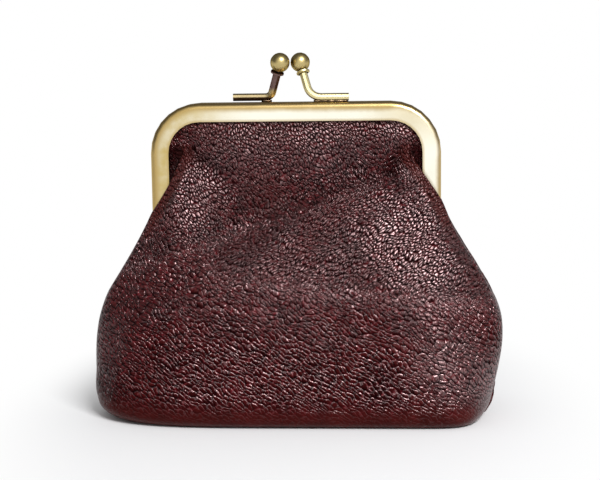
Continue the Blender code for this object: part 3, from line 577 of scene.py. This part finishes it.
def floor_grid(outline):
    """The panel's base, from the seam along the middle of the base out to the wall's outline."""
    lengths = lengths_along(outline)
    ends = outline[0, 0] + 1.0, outline[-1, 0] - 1.0
    seam_x = ends[0] + (ends[1] - ends[0]) * lengths / lengths[-1]
    rows = []
    for i in range(FLOOR_ROWS):
        share = i / FLOOR_ROWS
        x = mix(seam_x, outline[:, 0], share)
        y = mix(-SEAM_GAP, outline[:, 1], share)
        turned_in = 0.9 * (1 - rise(0, 1.6, np.abs(y) - SEAM_GAP))
        rows.append(np.stack([x, y, turned_in], axis=1))
    return np.array(rows)


def columns_beyond(grid):
    """How many columns each point lies beyond the outermost line."""
    return np.abs(np.arange(grid.shape[1]) - grid.shape[1] // 2)[None, :] - VISIBLE_COLUMNS


def panel_grid(folds, seed):
    """The leather panel's outer surface with its folds, in millimetres, for the front."""
    wall = wall_grid()
    grid = np.vstack([floor_grid(wall[0]), wall])
    normals = grid_normals(grid)
    x, z = grid[..., 0], grid[..., 2]
    visible = 1 - rise(*FOLD_COLUMNS, columns_beyond(grid))
    clear_of_frame = (1 - rise(*FOLDS_FADE, z)) * visible
    depth = np.zeros_like(x)
    for fold in folds:
        depth += fold_line(x, z, fold)
    for i, (amount, size) in enumerate(SURFACE_WAVES):
        depth += amount * smooth_noise(x, z, size, seed + i)
    above_base = rise(*FOLDS_GROW, z)
    return grid + normals * (depth * clear_of_frame * above_base)[..., None], grid


def thickness_grid(grid):
    """The leather's thickness at each point: skived thin where it folds and enters the channel."""
    height = grid[..., 2]
    skived = rise(*SKIVED_COLUMNS, columns_beyond(grid)) * rise(*SKIVED_SIDES, height)
    skived = np.maximum(skived, rise(*FOLDS_FADE, height))
    return mix(LEATHER_THICKNESS, SKIVED_THICKNESS, skived)


def shell_from_grid(name, outer, inner, layers):
    """A closed shell from an outer and an inner grid of points in millimetres, with its named flat maps."""
    rows, columns = outer.shape[:2]
    count = rows * columns
    index = np.arange(count).reshape(rows, columns)
    quads = np.stack([index[:-1, :-1], index[:-1, 1:], index[1:, 1:], index[1:, :-1]], axis=-1)
    quads = quads.reshape(-1, 4)
    rim = np.concatenate([index[0, :-1], index[:-1, -1], index[-1, :0:-1], index[:0:-1, 0]])
    after = np.roll(rim, -1)
    faces = np.vstack([
        quads, quads[:, ::-1] + count, np.stack([after, rim, rim + count, after + count], axis=1),
    ])
    points = np.vstack([outer.reshape(-1, 3), inner.reshape(-1, 3)]) * MM
    mesh = bpy.data.meshes.new(name)
    mesh.from_pydata(points.tolist(), [], faces.tolist())
    corners = np.zeros(len(mesh.loops), np.int32)
    mesh.loops.foreach_get("vertex_index", corners)
    for layer_name, coordinates in layers.items():
        flat = np.vstack([coordinates.reshape(-1, 2)] * 2)[corners].astype(np.float32)
        mesh.uv_layers.new(name=layer_name).data.foreach_set("uv", flat.ravel())
    mesh.shade_smooth()
    return new_object(name, mesh)


def flat_coordinates(grid):
    """Places on the flat leather, in millimetres from the middle of its lower edge."""
    across = np.linalg.norm(np.diff(grid, axis=1), axis=2)
    across = np.concatenate([np.zeros((grid.shape[0], 1)), np.cumsum(across, axis=1)], axis=1)
    middle = grid.shape[1] // 2
    u = across - across[:, middle:middle + 1]
    v = lengths_along(grid[:, middle])
    return np.stack([u, np.broadcast_to(v[:, None], u.shape)], axis=-1)


def shine_and_hollow(outer, plain):
    """How shiny each point is rubbed, and how deep it lies in a fold."""
    tilt = grid_normals(outer)[..., 2]
    for _ in range(8):
        tilt[1:-1] = (tilt[:-2] + 2 * tilt[1:-1] + tilt[2:]) / 4
        tilt[:, 1:-1] = (tilt[:, :-2] + 2 * tilt[:, 1:-1] + tilt[:, 2:]) / 4
    depth = np.sum((outer - plain) * grid_normals(plain), axis=2)
    low, high, amount = SHINY_TILT
    shiny = amount * rise(low, high, tilt) + near_places(outer, SHINY_PLACES)
    return np.stack([np.clip(shiny, 0, 1), np.clip(0.5 - depth / 4, 0, 1)], axis=-1)


def near_places(grid, places):
    """How near each point lies to any of the (across, up, reach, amount) places."""
    total = np.zeros(grid.shape[:2])
    for across, up, reach, amount in places:
        away = (grid[..., 0] - across) ** 2 + (grid[..., 2] - up) ** 2
        total += amount * np.exp(-away / reach ** 2)
    return total


def painted_red_and_unlit(outer):
    """How much painted red-brown light and shade each point gets, and how much painted shade where it lies
    under a fold, out of the light.
    """
    beyond, height = columns_beyond(outer), outer[..., 2]
    on_fold = rise(*FOLD_STARTS, height) * (1 - rise(*FOLD_ENDS, height))
    band = rise(*RED_START, beyond) * (1 - rise(*RED_END, beyond))
    low, high, amount = RED_BASE
    red = band * on_fold + near_places(outer, RED_LIGHT_AND_SHADE_PLACES) + amount * (1 - rise(low, high, height))
    unlit_share = rise(*UNLIT_COLUMNS, beyond) * on_fold + near_places(outer, UNLIT_PLACES)
    return np.stack([np.clip(red, 0, 1), np.clip(unlit_share, 0, 1)], axis=-1)


def sheet(name, side, outer, inner, layers, material):
    """A front sheet as it is, or turned to the rear, keeping left and right, and closed at the seam."""
    inner[..., 1] = np.minimum(inner[..., 1], -SEAM_GAP)
    if side == REAR:
        turn = np.array([1.0, -1.0, 1.0])
        outer, inner = (outer * turn)[:, ::-1], (inner * turn)[:, ::-1]
        layers = {key: value[:, ::-1] for key, value in layers.items()}
    thing = shell_from_grid(name, outer, inner, layers)
    thing.data.materials.append(material)
    return thing


def leather_panel(name, side, seed, body, nodes, material):
    """One leather panel, from the seam under the base up into the channel."""
    outer, plain = panel_grid(FRONT_FOLDS if side == FRONT else mirrored(FRONT_FOLDS), seed)
    inner = outer - grid_normals(outer) * thickness_grid(outer)[..., None]
    layers = {
        "flat_mm": flat_coordinates(outer), "face_mm": outer[..., [0, 2]],
        "shine": shine_and_hollow(outer, plain), "painted_light_and_shade": painted_red_and_unlit(outer),
    }
    panel = sheet(name, side, outer, inner, layers, material)
    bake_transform(panel)
    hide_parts(*nodes)


def seam_welt(material):
    """The sewn seam allowance inside the purse, from hinge to hinge along both sides and the base."""
    heights = np.linspace(0.9, HINGE - 6.0, 60)
    left = [(0.9 - seam_half_width(height, LEFT), height) for height in heights[::-1]]
    right = [(seam_half_width(height, RIGHT) - 0.9, height) for height in heights]
    path = np.array(left + right)
    way = np.gradient(path, axis=0)
    way /= np.linalg.norm(way, axis=1, keepdims=True)
    inwards = np.stack([-way[:, 1], way[:, 0]], axis=1)
    corners = []
    for width, depth in ((0, 1), (WELT_WIDTH, 1), (WELT_WIDTH, -1), (0, -1)):
        place = path + inwards * width
        corners.append(np.stack([place[:, 0], np.full(len(place), depth * WELT_DEPTH), place[:, 1]], axis=1))
    mesh = tube("seam_allowance", np.stack(corners, axis=1), material)
    layer = mesh.uv_layers.new(name="flat_mm")
    for loop in mesh.loops:
        point = mesh.vertices[loop.vertex_index].co
        layer.data[loop.index].uv = (point.x / MM, point.z / MM)
    mesh.uv_layers.new(name="face_mm").data.foreach_set("uv", [v for d in layer.data for v in d.uv])
    mesh.uv_layers.new(name="shine").data.foreach_set("uv", [v for d in layer.data for v in (0.0, 0.5)])
    # A new map starts as a copy of the first one, which gives the seam allowance the painted unlit shade
    mesh.uv_layers.new(name="painted_light_and_shade")
    welt = new_object("seam_allowance", mesh)
    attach(welt, "pouch")


def mirrored(folds):
    """The same folds with left and right exchanged, for the rear."""
    return tuple(tuple((-x, z, depth, width) for x, z, depth, width in fold) for fold in folds)


# Materials

class Nodes:
    """Adds the nodes of a tree, and gives back what they put out."""

    def __init__(self, tree):
        self.tree = tree

    def feed(self, socket, value):
        """Link an input to an output, or fix it."""
        if isinstance(value, bpy.types.NodeSocket):
            self.tree.links.new(value, socket)
        else:
            socket.default_value = value

    def add(self, kind, settings=None, **inputs):
        """A node with its settings and its inputs, named by their names or by i and their number."""
        node = self.tree.nodes.new(kind)
        for key, value in (settings or {}).items():
            setattr(node, key, value)
        for key, value in inputs.items():
            self.feed(node.inputs[int(key[1:]) if key[1:].isdigit() else key.replace("_", " ")], value)
        return node

    def out(self, kind, settings=None, **inputs):
        """What a node puts out first."""
        return self.add(kind, settings, **inputs).outputs[0]

    def surface(self, **inputs):
        """Set the shader's inputs."""
        for key, value in inputs.items():
            self.feed(self.tree.nodes["Principled BSDF"].inputs[key.replace("_", " ")], value)

    def maths(self, operation, a, b=0.0, clamp=False):
        """One arithmetic node."""
        return self.out("ShaderNodeMath", {"operation": operation, "use_clamp": clamp}, i0=a, i1=b)

    def times(self, product, *others):
        """A product."""
        for other in others:
            product = self.maths("MULTIPLY", product, other)
        return product

    def plus(self, total, *others):
        """A sum."""
        for other in others:
            total = self.maths("ADD", total, other)
        return total

    def larger(self, a, b):
        """The larger of two values."""
        return self.maths("MAXIMUM", a, b)

    def span(self, share, none, full):
        """From one value to another as a share goes from 0 to 1."""
        return self.plus(self.times(share, full - none), none)

    def between(self, value, low, high):
        """Rise smoothly from 0 at low to 1 at high."""
        smooth = {"interpolation_type": "SMOOTHSTEP"}
        return self.out("ShaderNodeMapRange", smooth, Value=value, From_Min=low, From_Max=high)

    def vector(self, operation, a, **inputs):
        """One vector node."""
        node = self.add("ShaderNodeVectorMath", {"operation": operation}, i0=a, **inputs)
        return node.outputs["Value" if operation in ("LENGTH", "DOT_PRODUCT") else "Vector"]

    def parts(self, vector):
        """A vector's three parts."""
        return self.add("ShaderNodeSeparateXYZ", i0=vector).outputs[:]

    def values(self, share, a, b):
        """A value between two, by a share."""
        return self.out("ShaderNodeMix", {"data_type": "FLOAT"}, i0=share, i2=a, i3=b)

    def colours(self, share, a, b, way="MIX"):
        """A colour between two, or two combined in another way, by a share."""
        settings = {"data_type": "RGBA", "blend_type": way}
        return self.add("ShaderNodeMix", settings, i0=share, i6=a, i7=b).outputs[2]

    def ramp(self, value, stops):
        """A colour ramp over (place, colour) stops."""
        node = self.add("ShaderNodeValToRGB", i0=value)
        elements = node.color_ramp.elements
        while len(elements) < len(stops):
            elements.new(0.5)
        for element, (place, colour) in zip(elements, stops):
            element.position = place
            element.color = (*colour, 1.0)
        return node.outputs[0]

    def flat_map(self, name):
        """Places on one of the flat maps."""
        return self.out("ShaderNodeUVMap", {"uv_map": name})

    def noise(self, place, scale, detail, roughness=0.5):
        """Cloudy noise from 0 to 1."""
        more = {"Detail": detail, "Roughness": roughness}
        return self.out("ShaderNodeTexNoise", Vector=place, Scale=scale, **more)

    def bump(self, height, strength, distance):
        """The surface's direction under a relief."""
        return self.out("ShaderNodeBump", Strength=strength, Distance=distance, Height=height)


def new_material(name):
    """A material with its shader, and what adds its nodes."""
    material = bpy.data.materials.new(name)
    material.use_nodes = True
    return material, Nodes(material.node_tree)


def pebble_grain(n, place, angle, size, stretch, unevenness):
    """Pebbles in rows: how far a place is in from its pebble's edge and up it, and the pebble's own value."""
    turn = math.radians(angle)
    place = n.out(
        "ShaderNodeMapping", {"vector_type": "TEXTURE"}, Vector=place,
        Rotation=(0, 0, turn), Scale=(size * stretch, size, size),
    )
    edges, cells = (
        n.add(
            "ShaderNodeTexVoronoi", {"feature": feature, "voronoi_dimensions": "2D"},
            Vector=place, Scale=1.0, Randomness=unevenness,
        )
        for feature in ("DISTANCE_TO_EDGE", "F1")
    )
    away = n.vector("SUBTRACT", place, i1=cells.outputs["Position"])
    light = turn + GLINT_LEAN
    upper = n.vector("DOT_PRODUCT", away, i1=(math.sin(light), math.cos(light), 0.0))
    return edges.outputs[0], upper, n.parts(cells.outputs["Color"])[0]


def leather_zones(n, across, up):
    """A function that picks one of three values by the leather's zone."""
    passed = []
    for slope, low, high in (BELLY_BORDER, VALLEY_BORDER):
        passed.append(n.between(n.plus(up, n.times(across, slope)), low, high))
    above_belly, above_valley = passed
    in_band = n.times(n.between(across, *LEFT_FOLD_BORDER), above_belly)
    return lambda pouch, band, top: n.values(above_valley, n.values(in_band, pouch, band), top)


def leather_material():
    """Burgundy leather with a pebbled grain, stretched in the directions that the hide was milled."""
    material, n = new_material("burgundy_leather")
    flat = n.flat_map("flat_mm")
    across, up = n.parts(n.flat_map("face_mm"))[:2]
    worn, hollow = n.parts(n.flat_map("shine"))[:2]
    red, unlit = n.parts(n.flat_map("painted_light_and_shade"))[:2]
    waver = n.add("ShaderNodeTexNoise", Vector=flat, Scale=WAVER_SCALE, Detail=2.0).outputs[1]
    shift = n.vector("SCALE", n.vector("SUBTRACT", waver, i1=(0.5, 0.5, 0.5)), Scale=WAVER)
    warped = n.vector("ADD", flat, i1=shift)
    by_zone = leather_zones(n, across, up)
    grains = [pebble_grain(n, warped, *pebbles) for pebbles in PEBBLES]
    edge, upper, own = (by_zone(*parts) for parts in zip(*grains))
    crumple = n.noise(warped, 1.5, 2.0, 0.6)
    pores = n.noise(flat, 3.2, 2.0)
    above_base = n.between(up, *GRAIN_GROWS)
    grown = n.span(above_base, 0.2, 1.0)

    height = n.plus(
        n.times(n.between(edge, 0.0, PEBBLE_SIDE), by_zone(*PEBBLE_RELIEF)),
        n.times(n.between(edge, -0.3, 0.5), worn, DOME_RELIEF),
        n.times(crumple, n.between(worn, 1.9, -0.4), CRUMPLE_RELIEF),
        n.times(own, STEP_RELIEF), n.times(pores, PORE_RELIEF),
    )
    normal = n.bump(n.times(height, grown), 1.0, MM)

    tops = n.ramp(n.noise(flat, 0.10, 3.0), PEBBLE_SHADES)
    crease_red_and_shade = n.ramp(n.noise(warped, 0.8, 3.0), CREASE_SHADES)
    # Painted shade: more of the dark crease colour deep in the folds' valleys
    fold_valley_shade = n.times(n.between(hollow, 0.55, 0.95), 0.3)
    crease_share = n.maths("ADD", n.between(edge, PEBBLE_SIDE, 0.02), fold_valley_shade, clamp=True)
    colour = n.colours(n.times(crease_share, grown), tops, crease_red_and_shade)
    # Painted red-brown light and shade on the ear tips, the folds' edges and the base corners, redder towards
    # the base
    colour = n.colours(n.times(red, 0.8), colour, PAINTED_RED_LIGHT_AND_SHADE)
    # Painted shade where the leather lies under a fold, out of the light
    colour = n.colours(n.times(unlit, 0.7), colour, UNLIT_BROWN)
    # Painted shade: the lower side of each pebble darker
    underside_shade = n.times(n.between(upper, *UNDERSIDE), above_base)
    colour = n.colours(n.times(underside_shade, by_zone(*UNDERSIDE_SHADE_SHARE)), colour, UNDERSIDE_SHADE_BROWN)

    rim = n.times(
        n.between(edge, *RIM_START), n.between(edge, *RIM_END), n.between(upper, *RIM_LIT),
    )
    face = n.times(n.between(edge, *FACE_START), n.between(upper, *FACE_LIT))
    broken = n.times(n.between(crumple, 0.34, 0.52), n.between(pores, 0.32, 0.50))
    shaded = n.larger(n.times(red, 0.8), n.times(unlit, 0.9))
    dim = n.times(n.between(across, *DIM_LEFT), n.between(up, *DIM_LOW))
    start, end, amount = BRIGHT_RIGHT
    strength = n.plus(by_zone(*GLINTS), n.times(n.between(across, start, end), amount))
    glint = n.times(
        n.values(worn, rim, face), n.span(broken, 0.08, 1.0), n.between(own, -0.7, 0.4),
        n.span(above_base, 0.1, 1.0), n.span(shaded, 1.0, 0.0), n.span(dim, 1.0, 1.0 - DIM_SHARE),
        n.maths("MINIMUM", strength, GLINTS_AT_MOST),
    )
    facing = n.add("ShaderNodeLayerWeight", Blend=0.35).outputs["Facing"]
    sheen = n.span(n.maths("POWER", facing, 3.0), *SHEEN)
    gloss = n.times(
        n.plus(n.times(worn, WORN_GLOSS), sheen), n.span(underside_shade, 1.0, 0.15),
        n.span(n.between(edge, 0.0, 0.14), 0.2, 1.0),
    )
    n.surface(
        Base_Color=colour, Normal=normal, Specular_IOR_Level=n.plus(glint, gloss),
        Roughness=n.span(worn, *LEATHER_ROUGHNESS), IOR=LEATHER_IOR, Specular_Tint=LEATHER_TINT,
    )
    return material


def lining_material():
    """Plain dark cotton with a fine weave."""
    material, n = new_material("lining_cotton")
    flat = n.flat_map("flat_mm")
    threads = [
        n.add("ShaderNodeTexWave", {"bands_direction": way}, Vector=flat, Scale=0.8, Distortion=0.6)
        for way in ("X", "Y")
    ]
    weave = n.larger(*(thread.outputs[1] for thread in threads))
    colour = n.ramp(n.times(weave, n.noise(flat, 0.5, 4.0)), COTTON_SHADES)
    normal = n.bump(weave, 0.6, COTTON_RELIEF)
    n.surface(Base_Color=colour, Normal=normal, Roughness=0.9, Sheen_Weight=0.25)
    return material


def millimetres(n, place):
    """How far across and how far up a place is."""
    across, _, up = n.parts(n.vector("SCALE", place, Scale=1 / MM))
    return across, up


def frame_plating_and_shade(n, place, cloud):
    """The frame's plating by place: pale flats, with painted shade browner along the outer edge and inner lip
    and yellower down the left leg.
    """
    across, up = millimetres(n, place)
    beyond_side = n.plus(n.maths("ABSOLUTE", across), CORNER_RADIUS - HALF_FRAME)
    beyond_top = n.plus(up, CORNER_RADIUS - CROWN)
    beyond = n.out("ShaderNodeCombineXYZ", i0=n.larger(beyond_side, 0.0), i1=n.larger(beyond_top, 0.0))
    from_edge = n.maths("SUBTRACT", CORNER_RADIUS, n.vector("LENGTH", beyond))
    # Painted shade: yellower down the left leg
    leg = n.times(n.between(across, *SHADED_LEFT_LEG), n.between(cloud, 0.15, 0.70))
    below_crown = n.between(up, *(CROWN - drop for drop in GOLD_DROP))
    corner = n.times(n.between(across, *GOLD_CORNER), below_crown, 0.45)
    colour = n.colours(n.larger(leg, corner), FRAME_PALE, FRAME_YELLOW)
    uneven = n.plus(
        from_edge, n.times(n.plus(cloud, -0.5), 1.6),
        n.times(n.between(across, *EDGE_SHADE_NARROWS), 1.3),
    )
    # Painted shade: browner along the rounded outer edge, narrower on the right
    colour = n.colours(n.times(n.between(uneven, *EDGE_SHADE_REACH), 0.95), colour, FRAME_EDGE_SHADE)
    # Painted shade: browner at the inner lip
    lip = n.between(from_edge, *(CHANNEL_FACE - inset for inset in LIP_SHADE_REACH))
    return n.colours(n.times(lip, 0.6), colour, FRAME_EDGE_SHADE)


def arm_shade_and_highlight(n, place, cloud):
    """The dark arm's colour: painted shade, with a painted highlight along the top of its foot."""
    above = n.plus(millimetres(n, place)[1], -CROWN)
    foot = n.times(*(n.between(above, *heights) for heights in FOOT_HIGHLIGHT_HEIGHTS))
    return n.colours(foot, ARM_PAINTED_SHADE, FOOT_HIGHLIGHT_GOLD)


def brass_material(name, pale, dark, edge_tint, roughness, patina):
    """Antique brass plating: pale where it is rubbed, darker in its hollows, with fine pits and scuffs."""
    material, n = new_material(name)
    place = n.add("ShaderNodeTexCoord").outputs["Object"]
    cloud = n.noise(place, BRASS_CLOUDS, 5.0, 0.6)
    pits = n.noise(place, BRASS_PITS, 4.0)
    uneven = n.plus(cloud, -0.5)
    hollow = n.add("ShaderNodeAmbientOcclusion", {"samples": 6}, Distance=HOLLOW_REACH).outputs[1]
    worn = n.ramp(hollow, HOLLOW_SHADES)
    share = n.maths("ADD", worn, n.times(uneven, patina), clamp=True)
    rubbed = pale(n, place, cloud) if callable(pale) else pale
    n.surface(
        Base_Color=n.colours(share, dark, rubbed), Metallic=1.0, Specular_Tint=edge_tint,
        Roughness=n.plus(n.times(uneven, UNEVEN_ROUGHNESS), roughness),
        Normal=n.bump(n.plus(pits, cloud), 0.25, BRASS_RELIEF),
    )
    return material


def paper_material():
    """Twisted paper cord."""
    material, n = new_material("paper_cord")
    twist = n.add(
        "ShaderNodeTexWave", {"bands_direction": "DIAGONAL"}, Scale=PAPER_TWIST, Distortion=1.5,
        Vector=n.add("ShaderNodeTexCoord").outputs["Object"],
    ).outputs[1]
    normal = n.bump(twist, 0.7, PAPER_RELIEF)
    n.surface(Base_Color=n.ramp(twist, PAPER_SHADES), Normal=normal, Roughness=0.9)
    return material


# Lining

def lining_grid(seed):
    """The front lining's outer surface, which stays between the legs of the frame."""
    reach = smooth_table(LINING_REACH)
    rows = []
    inset = LEATHER_THICKNESS + LINING_GAP
    tuck_inset = TUCK_INSET + 0.6
    for height in np.linspace(inset, CROWN - tuck_inset, LINING_ROWS):
        half = reach(height)
        if height > LEG_END:
            half = min(half, arch_half_width(height, MOUTH_INSET))
        tuck = arch_half_width(height, tuck_inset)
        fold = rise(44, 51, height)
        deep = middle_depth(height) - base_rounding(height - inset) - inset
        clear = 1.6 * rise(50, 60, height) * (1 - rise(76, 86, height))
        deep = max(LINING_TUCK_DEPTH, deep - clear)
        ridge = mix(5.0, LINING_TUCK_DEPTH, rise(36, 50, height))
        front = spaced(curved_line(half, deep, ridge, LEFT["square"](height), 0.5, 120), 51)
        side = spaced(through([
            (half, ridge), (half - 0.05, mix(ridge, 0.6, 0.5 * (1 - fold))),
            (mix(half - 0.8, tuck, fold), mix(SEAM_GAP + 0.1, LINING_TUCK_DEPTH, fold)),
        ], 8), 9)
        flat = np.vstack([front, side[1:]])
        rows.append(whole_row(flat, flat, height))
    wall = np.array(rows)
    floor = floor_grid(wall[0])
    floor[..., 2] += inset
    grid = np.vstack([floor, wall])
    x, z = grid[..., 0], grid[..., 2]
    loose = rise(4, 12, z) * (1 - rise(70, 82, z)) * (1 - rise(30, 36, np.abs(x)) * rise(40, 50, z))
    inwards = 0.5 + 0.5 * smooth_noise(x, z, 13, seed) * 0.6
    clear = near_places(grid, LINING_CLEAR_PLACES)
    return grid - grid_normals(grid) * (np.clip(inwards, 0, 2) * 0.9 * loose + clear)[..., None]


def lining_panel(name, side, seed, body, nodes, material):
    """One half of the cotton lining."""
    outer = lining_grid(seed)
    inner = outer - grid_normals(outer) * LINING_THICKNESS
    layers = {"flat_mm": flat_coordinates(outer), "face_mm": outer[..., [0, 2]]}
    panel = sheet(name, side, outer, inner, layers, material)
    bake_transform(panel)
    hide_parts(*nodes)


# Metal

def smooth_shading_group():
    """Geometry nodes that join split points and shade a solid smooth, but for its sharp edges."""
    group = bpy.data.node_groups.new("smooth_but_sharp", "GeometryNodeTree")
    for way in ("INPUT", "OUTPUT"):
        group.interface.new_socket("Geometry", in_out=way, socket_type="NodeSocketGeometry")
    n = Nodes(group)
    shape = n.out("NodeGroupInput")
    shape = n.out("GeometryNodeMergeByDistance", Geometry=shape, Distance=JOIN_DISTANCE)
    shape = n.out("GeometryNodeSetShadeSmooth", Geometry=shape, Shade_Smooth=True)
    angle = n.add("GeometryNodeInputMeshEdgeAngle").outputs["Unsigned Angle"]
    small = n.out("FunctionNodeCompare", {"operation": "LESS_THAN"}, A=angle, B=math.radians(SHARP_ANGLE))
    shape = n.out("GeometryNodeSetShadeSmooth", {"domain": "EDGE"}, Geometry=shape, Shade_Smooth=small)
    n.add("NodeGroupOutput", i0=shape)
    return group


def dress(names, material, smoothing=None):
    """Give CAD nodes their material and, if they are metal, a smooth shading."""
    for name in names:
        node = frame["nodes"][name]
        node.data.materials.clear()
        node.data.materials.append(material)
        if smoothing:
            node.modifiers.new("smooth", "NODES").node_group = smoothing
            node.modifiers.new("normals", "WEIGHTED_NORMAL").keep_sharp = True


def braze_bead(name, body, start, end, material):
    """The uneven line of braze that holds an arm's foot on the crown."""
    random = np.random.default_rng(BRAZE_SEED)
    side = FRONT if body == "front_frame" else REAR
    count = max(6, int((end - start) / BRAZE_STEP))
    angles = np.arange(BRAZE_SIDES) * math.tau / BRAZE_SIDES
    rings = []
    for x, size in zip(np.linspace(start, end, count), random.uniform(0.75, 1.15, count)):
        size *= math.sin(math.pi * (0.12 + 0.76 * (x - start) / (end - start))) ** 0.4
        depth = side * BRAZE_DEPTH + BRAZE_WIDTH * size * np.cos(angles)
        height = CROWN + BRAZE_RISE + BRAZE_HEIGHT * size * np.sin(angles)
        rings.append(np.column_stack([np.full(BRAZE_SIDES, x), depth, height]))
    mesh = tube(name, np.array(rings), material)
    mesh.shade_smooth()
    bead = new_object(name, mesh)
    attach(bead, body)


# Stage

def backdrop_material():
    """White floor that keeps the object's shadow."""
    material, n = new_material("floor_white")
    place = n.add("ShaderNodeTexCoord").outputs["Object"]
    away = n.vector("LENGTH", n.vector("MULTIPLY", place, i1=FLOOR_STRETCH))
    n.surface(Base_Color=FLOOR_WHITE, Roughness=0.9, Specular_IOR_Level=0.1)
    ray = n.add("ShaderNodeLightPath").outputs
    mirrored_floor = n.larger(ray["Is Glossy Ray"], ray["Is Transmission Ray"])
    share = n.times(n.larger(ray["Is Camera Ray"], mirrored_floor), n.between(away, *FLOOR_FADE))
    white = n.out("ShaderNodeEmission", Color=WHITE, Strength=1.0)
    shader = n.tree.nodes["Principled BSDF"].outputs[0]
    blend = n.out("ShaderNodeMixShader", i0=share, i1=shader, i2=white)
    n.feed(n.tree.nodes["Material Output"].inputs["Surface"], blend)
    return material


def room_light():
    """A white room round the object that darkens towards its ceiling, seen plain white by the camera."""
    world = bpy.data.worlds.new("room")
    bpy.context.scene.world = world
    world.use_nodes = True
    world.node_tree.nodes.clear()
    n = Nodes(world.node_tree)
    way = n.add("ShaderNodeTexCoord").outputs["Generated"]
    _, depth, rising = n.parts(way)
    behind = n.ramp(n.maths("ABSOLUTE", rising), ROOM_SHADES)
    front = n.ramp(n.vector("DOT_PRODUCT", way, i1=FRONT_DIRECTION), FRONT_SHADES)
    dimmed = n.colours(n.between(depth, 0.2, -0.2), behind, BEHIND_DIMMED, "MULTIPLY")
    shade = n.colours(1.0, dimmed, front, "ADD")
    light, seen, mirrored_room = (
        n.out("ShaderNodeBackground", Color=colour, Strength=strength)
        for colour, strength in ((WHITE, ROOM_LIGHT), (WHITE, 1.0), (shade, 1.0))
    )
    ray = n.add("ShaderNodeLightPath").outputs
    glossy = n.larger(ray["Is Glossy Ray"], ray["Is Transmission Ray"])
    surfaces = n.out("ShaderNodeMixShader", i0=glossy, i1=light, i2=mirrored_room)
    everything = n.out("ShaderNodeMixShader", i0=ray["Is Camera Ray"], i1=surfaces, i2=seen)
    n.add("ShaderNodeOutputWorld", i0=everything)


def window_light():
    """One soft light above the camera's right shoulder."""
    data = bpy.data.lights.new("window", "AREA")
    data.shape = "RECTANGLE"
    data.size, data.size_y = WINDOW_SIZE
    data.energy = WINDOW_POWER
    away = direction(WINDOW_AZIMUTH, WINDOW_ELEVATION)
    window = new_object("window", data)
    window.location = Vector((0, 0, HINGE * MM)) + away * WINDOW_DISTANCE
    window.rotation_mode = "QUATERNION"
    window.rotation_quaternion = away.to_track_quat("Z", "Y")


def build_stage():
    """The floor and the room's light."""
    mesh = bpy.data.meshes.new("floor")
    shape = bmesh.new()
    bmesh.ops.create_circle(shape, cap_ends=True, radius=FLOOR_RADIUS, segments=96)
    shape.to_mesh(mesh)
    shape.free()
    mesh.materials.append(backdrop_material())
    floor = new_object("floor", mesh)
    room_light()
    window_light()


def build_camera():
    """The camera, placed as the photograph's was."""
    data = bpy.data.cameras.new("camera")
    data.sensor_width = SENSOR_WIDTH
    data.lens = FOCAL_PIXELS * SENSOR_WIDTH / PHOTO_WIDTH
    data.clip_start = 0.01
    camera = new_object("camera", data)
    camera.location = CAMERA_PLACE
    camera.rotation_mode = "QUATERNION"
    ahead = -direction(CAMERA_YAW, CAMERA_PITCH)
    roll = Quaternion((0, 0, 1), math.radians(CAMERA_ROLL))
    camera.rotation_quaternion = ahead.to_track_quat("-Z", "Y") @ roll
    bpy.context.scene.camera = camera


# Name, side, random seed, body and replaced nodes of each panel
LEATHERS = (
    ("front_leather", FRONT, 11, "front_frame", ("front_mouth_panel", "pouch_front")),
    ("rear_leather", REAR, 23, "rear_frame", ("rear_mouth_panel", "pouch_rear")),
)
LININGS = (
    ("front_lining", FRONT, 31, "front_frame", ("front_mouth_lining", "pouch_lining_front")),
    ("rear_lining", REAR, 37, "rear_frame", ("rear_mouth_lining", "pouch_lining_rear")),
)
# Name, pale and dark colours, edge tint, roughness and unevenness of each brass, and what is dressed in it
METALS = (
    (("frame_brass", frame_plating_and_shade, FRAME_DARK, FRAME_PALE, 0.34, 0.3),
     ("front_frame", "rear_frame", "hinge_rivet_left", "hinge_rivet_right")),
    (("lock_brass", LOCK_PALE, LOCK_BROWN, LOCK_EDGE, 0.40, 0.9), ("front_lock_arm", "front_lock_collar")),
    # The rear arm and collar wear a copy of the lock brass that is darkened as painted shade
    (("lock_brass_painted_shade", arm_shade_and_highlight, ARM_SHADE, LOCK_EDGE, 0.30, 0.7), ("rear_lock_arm", "rear_lock_collar")),
    (("lock_ball_brass", BALL_GOLD, LOCK_BROWN, BALL_EDGE, 0.36, 0.9), ("front_lock_ball", "rear_lock_ball")),
)


def main():
    """Dress the purse."""
    leather, lining = leather_material(), lining_material()
    for panel in LEATHERS:
        leather_panel(*panel, leather)
    seam_welt(leather)
    for panel in LININGS:
        lining_panel(*panel, lining)
    group = smooth_shading_group()
    for (name, *looks), dressed in METALS:
        dress(dressed, brass_material(name, *looks), group)
    # The braze is darkened as painted shade under the feet, as well as having its own brown
    braze_and_shade_brass = brass_material("braze_and_shade_brass", BRAZE_AND_SHADE_BROWN, ARM_SHADE, LOCK_EDGE, roughness=0.32, patina=2.0)
    braze_bead("front_braze", "front_frame", *FRONT_BRAZE, braze_and_shade_brass)
    braze_bead("rear_braze", "rear_frame", *REAR_BRAZE, braze_and_shade_brass)
    dress(["front_channel_cord", "rear_channel_cord"], paper_material())
    build_stage()
    build_camera()
    bpy.context.scene.view_settings.view_transform = "Standard"


main()
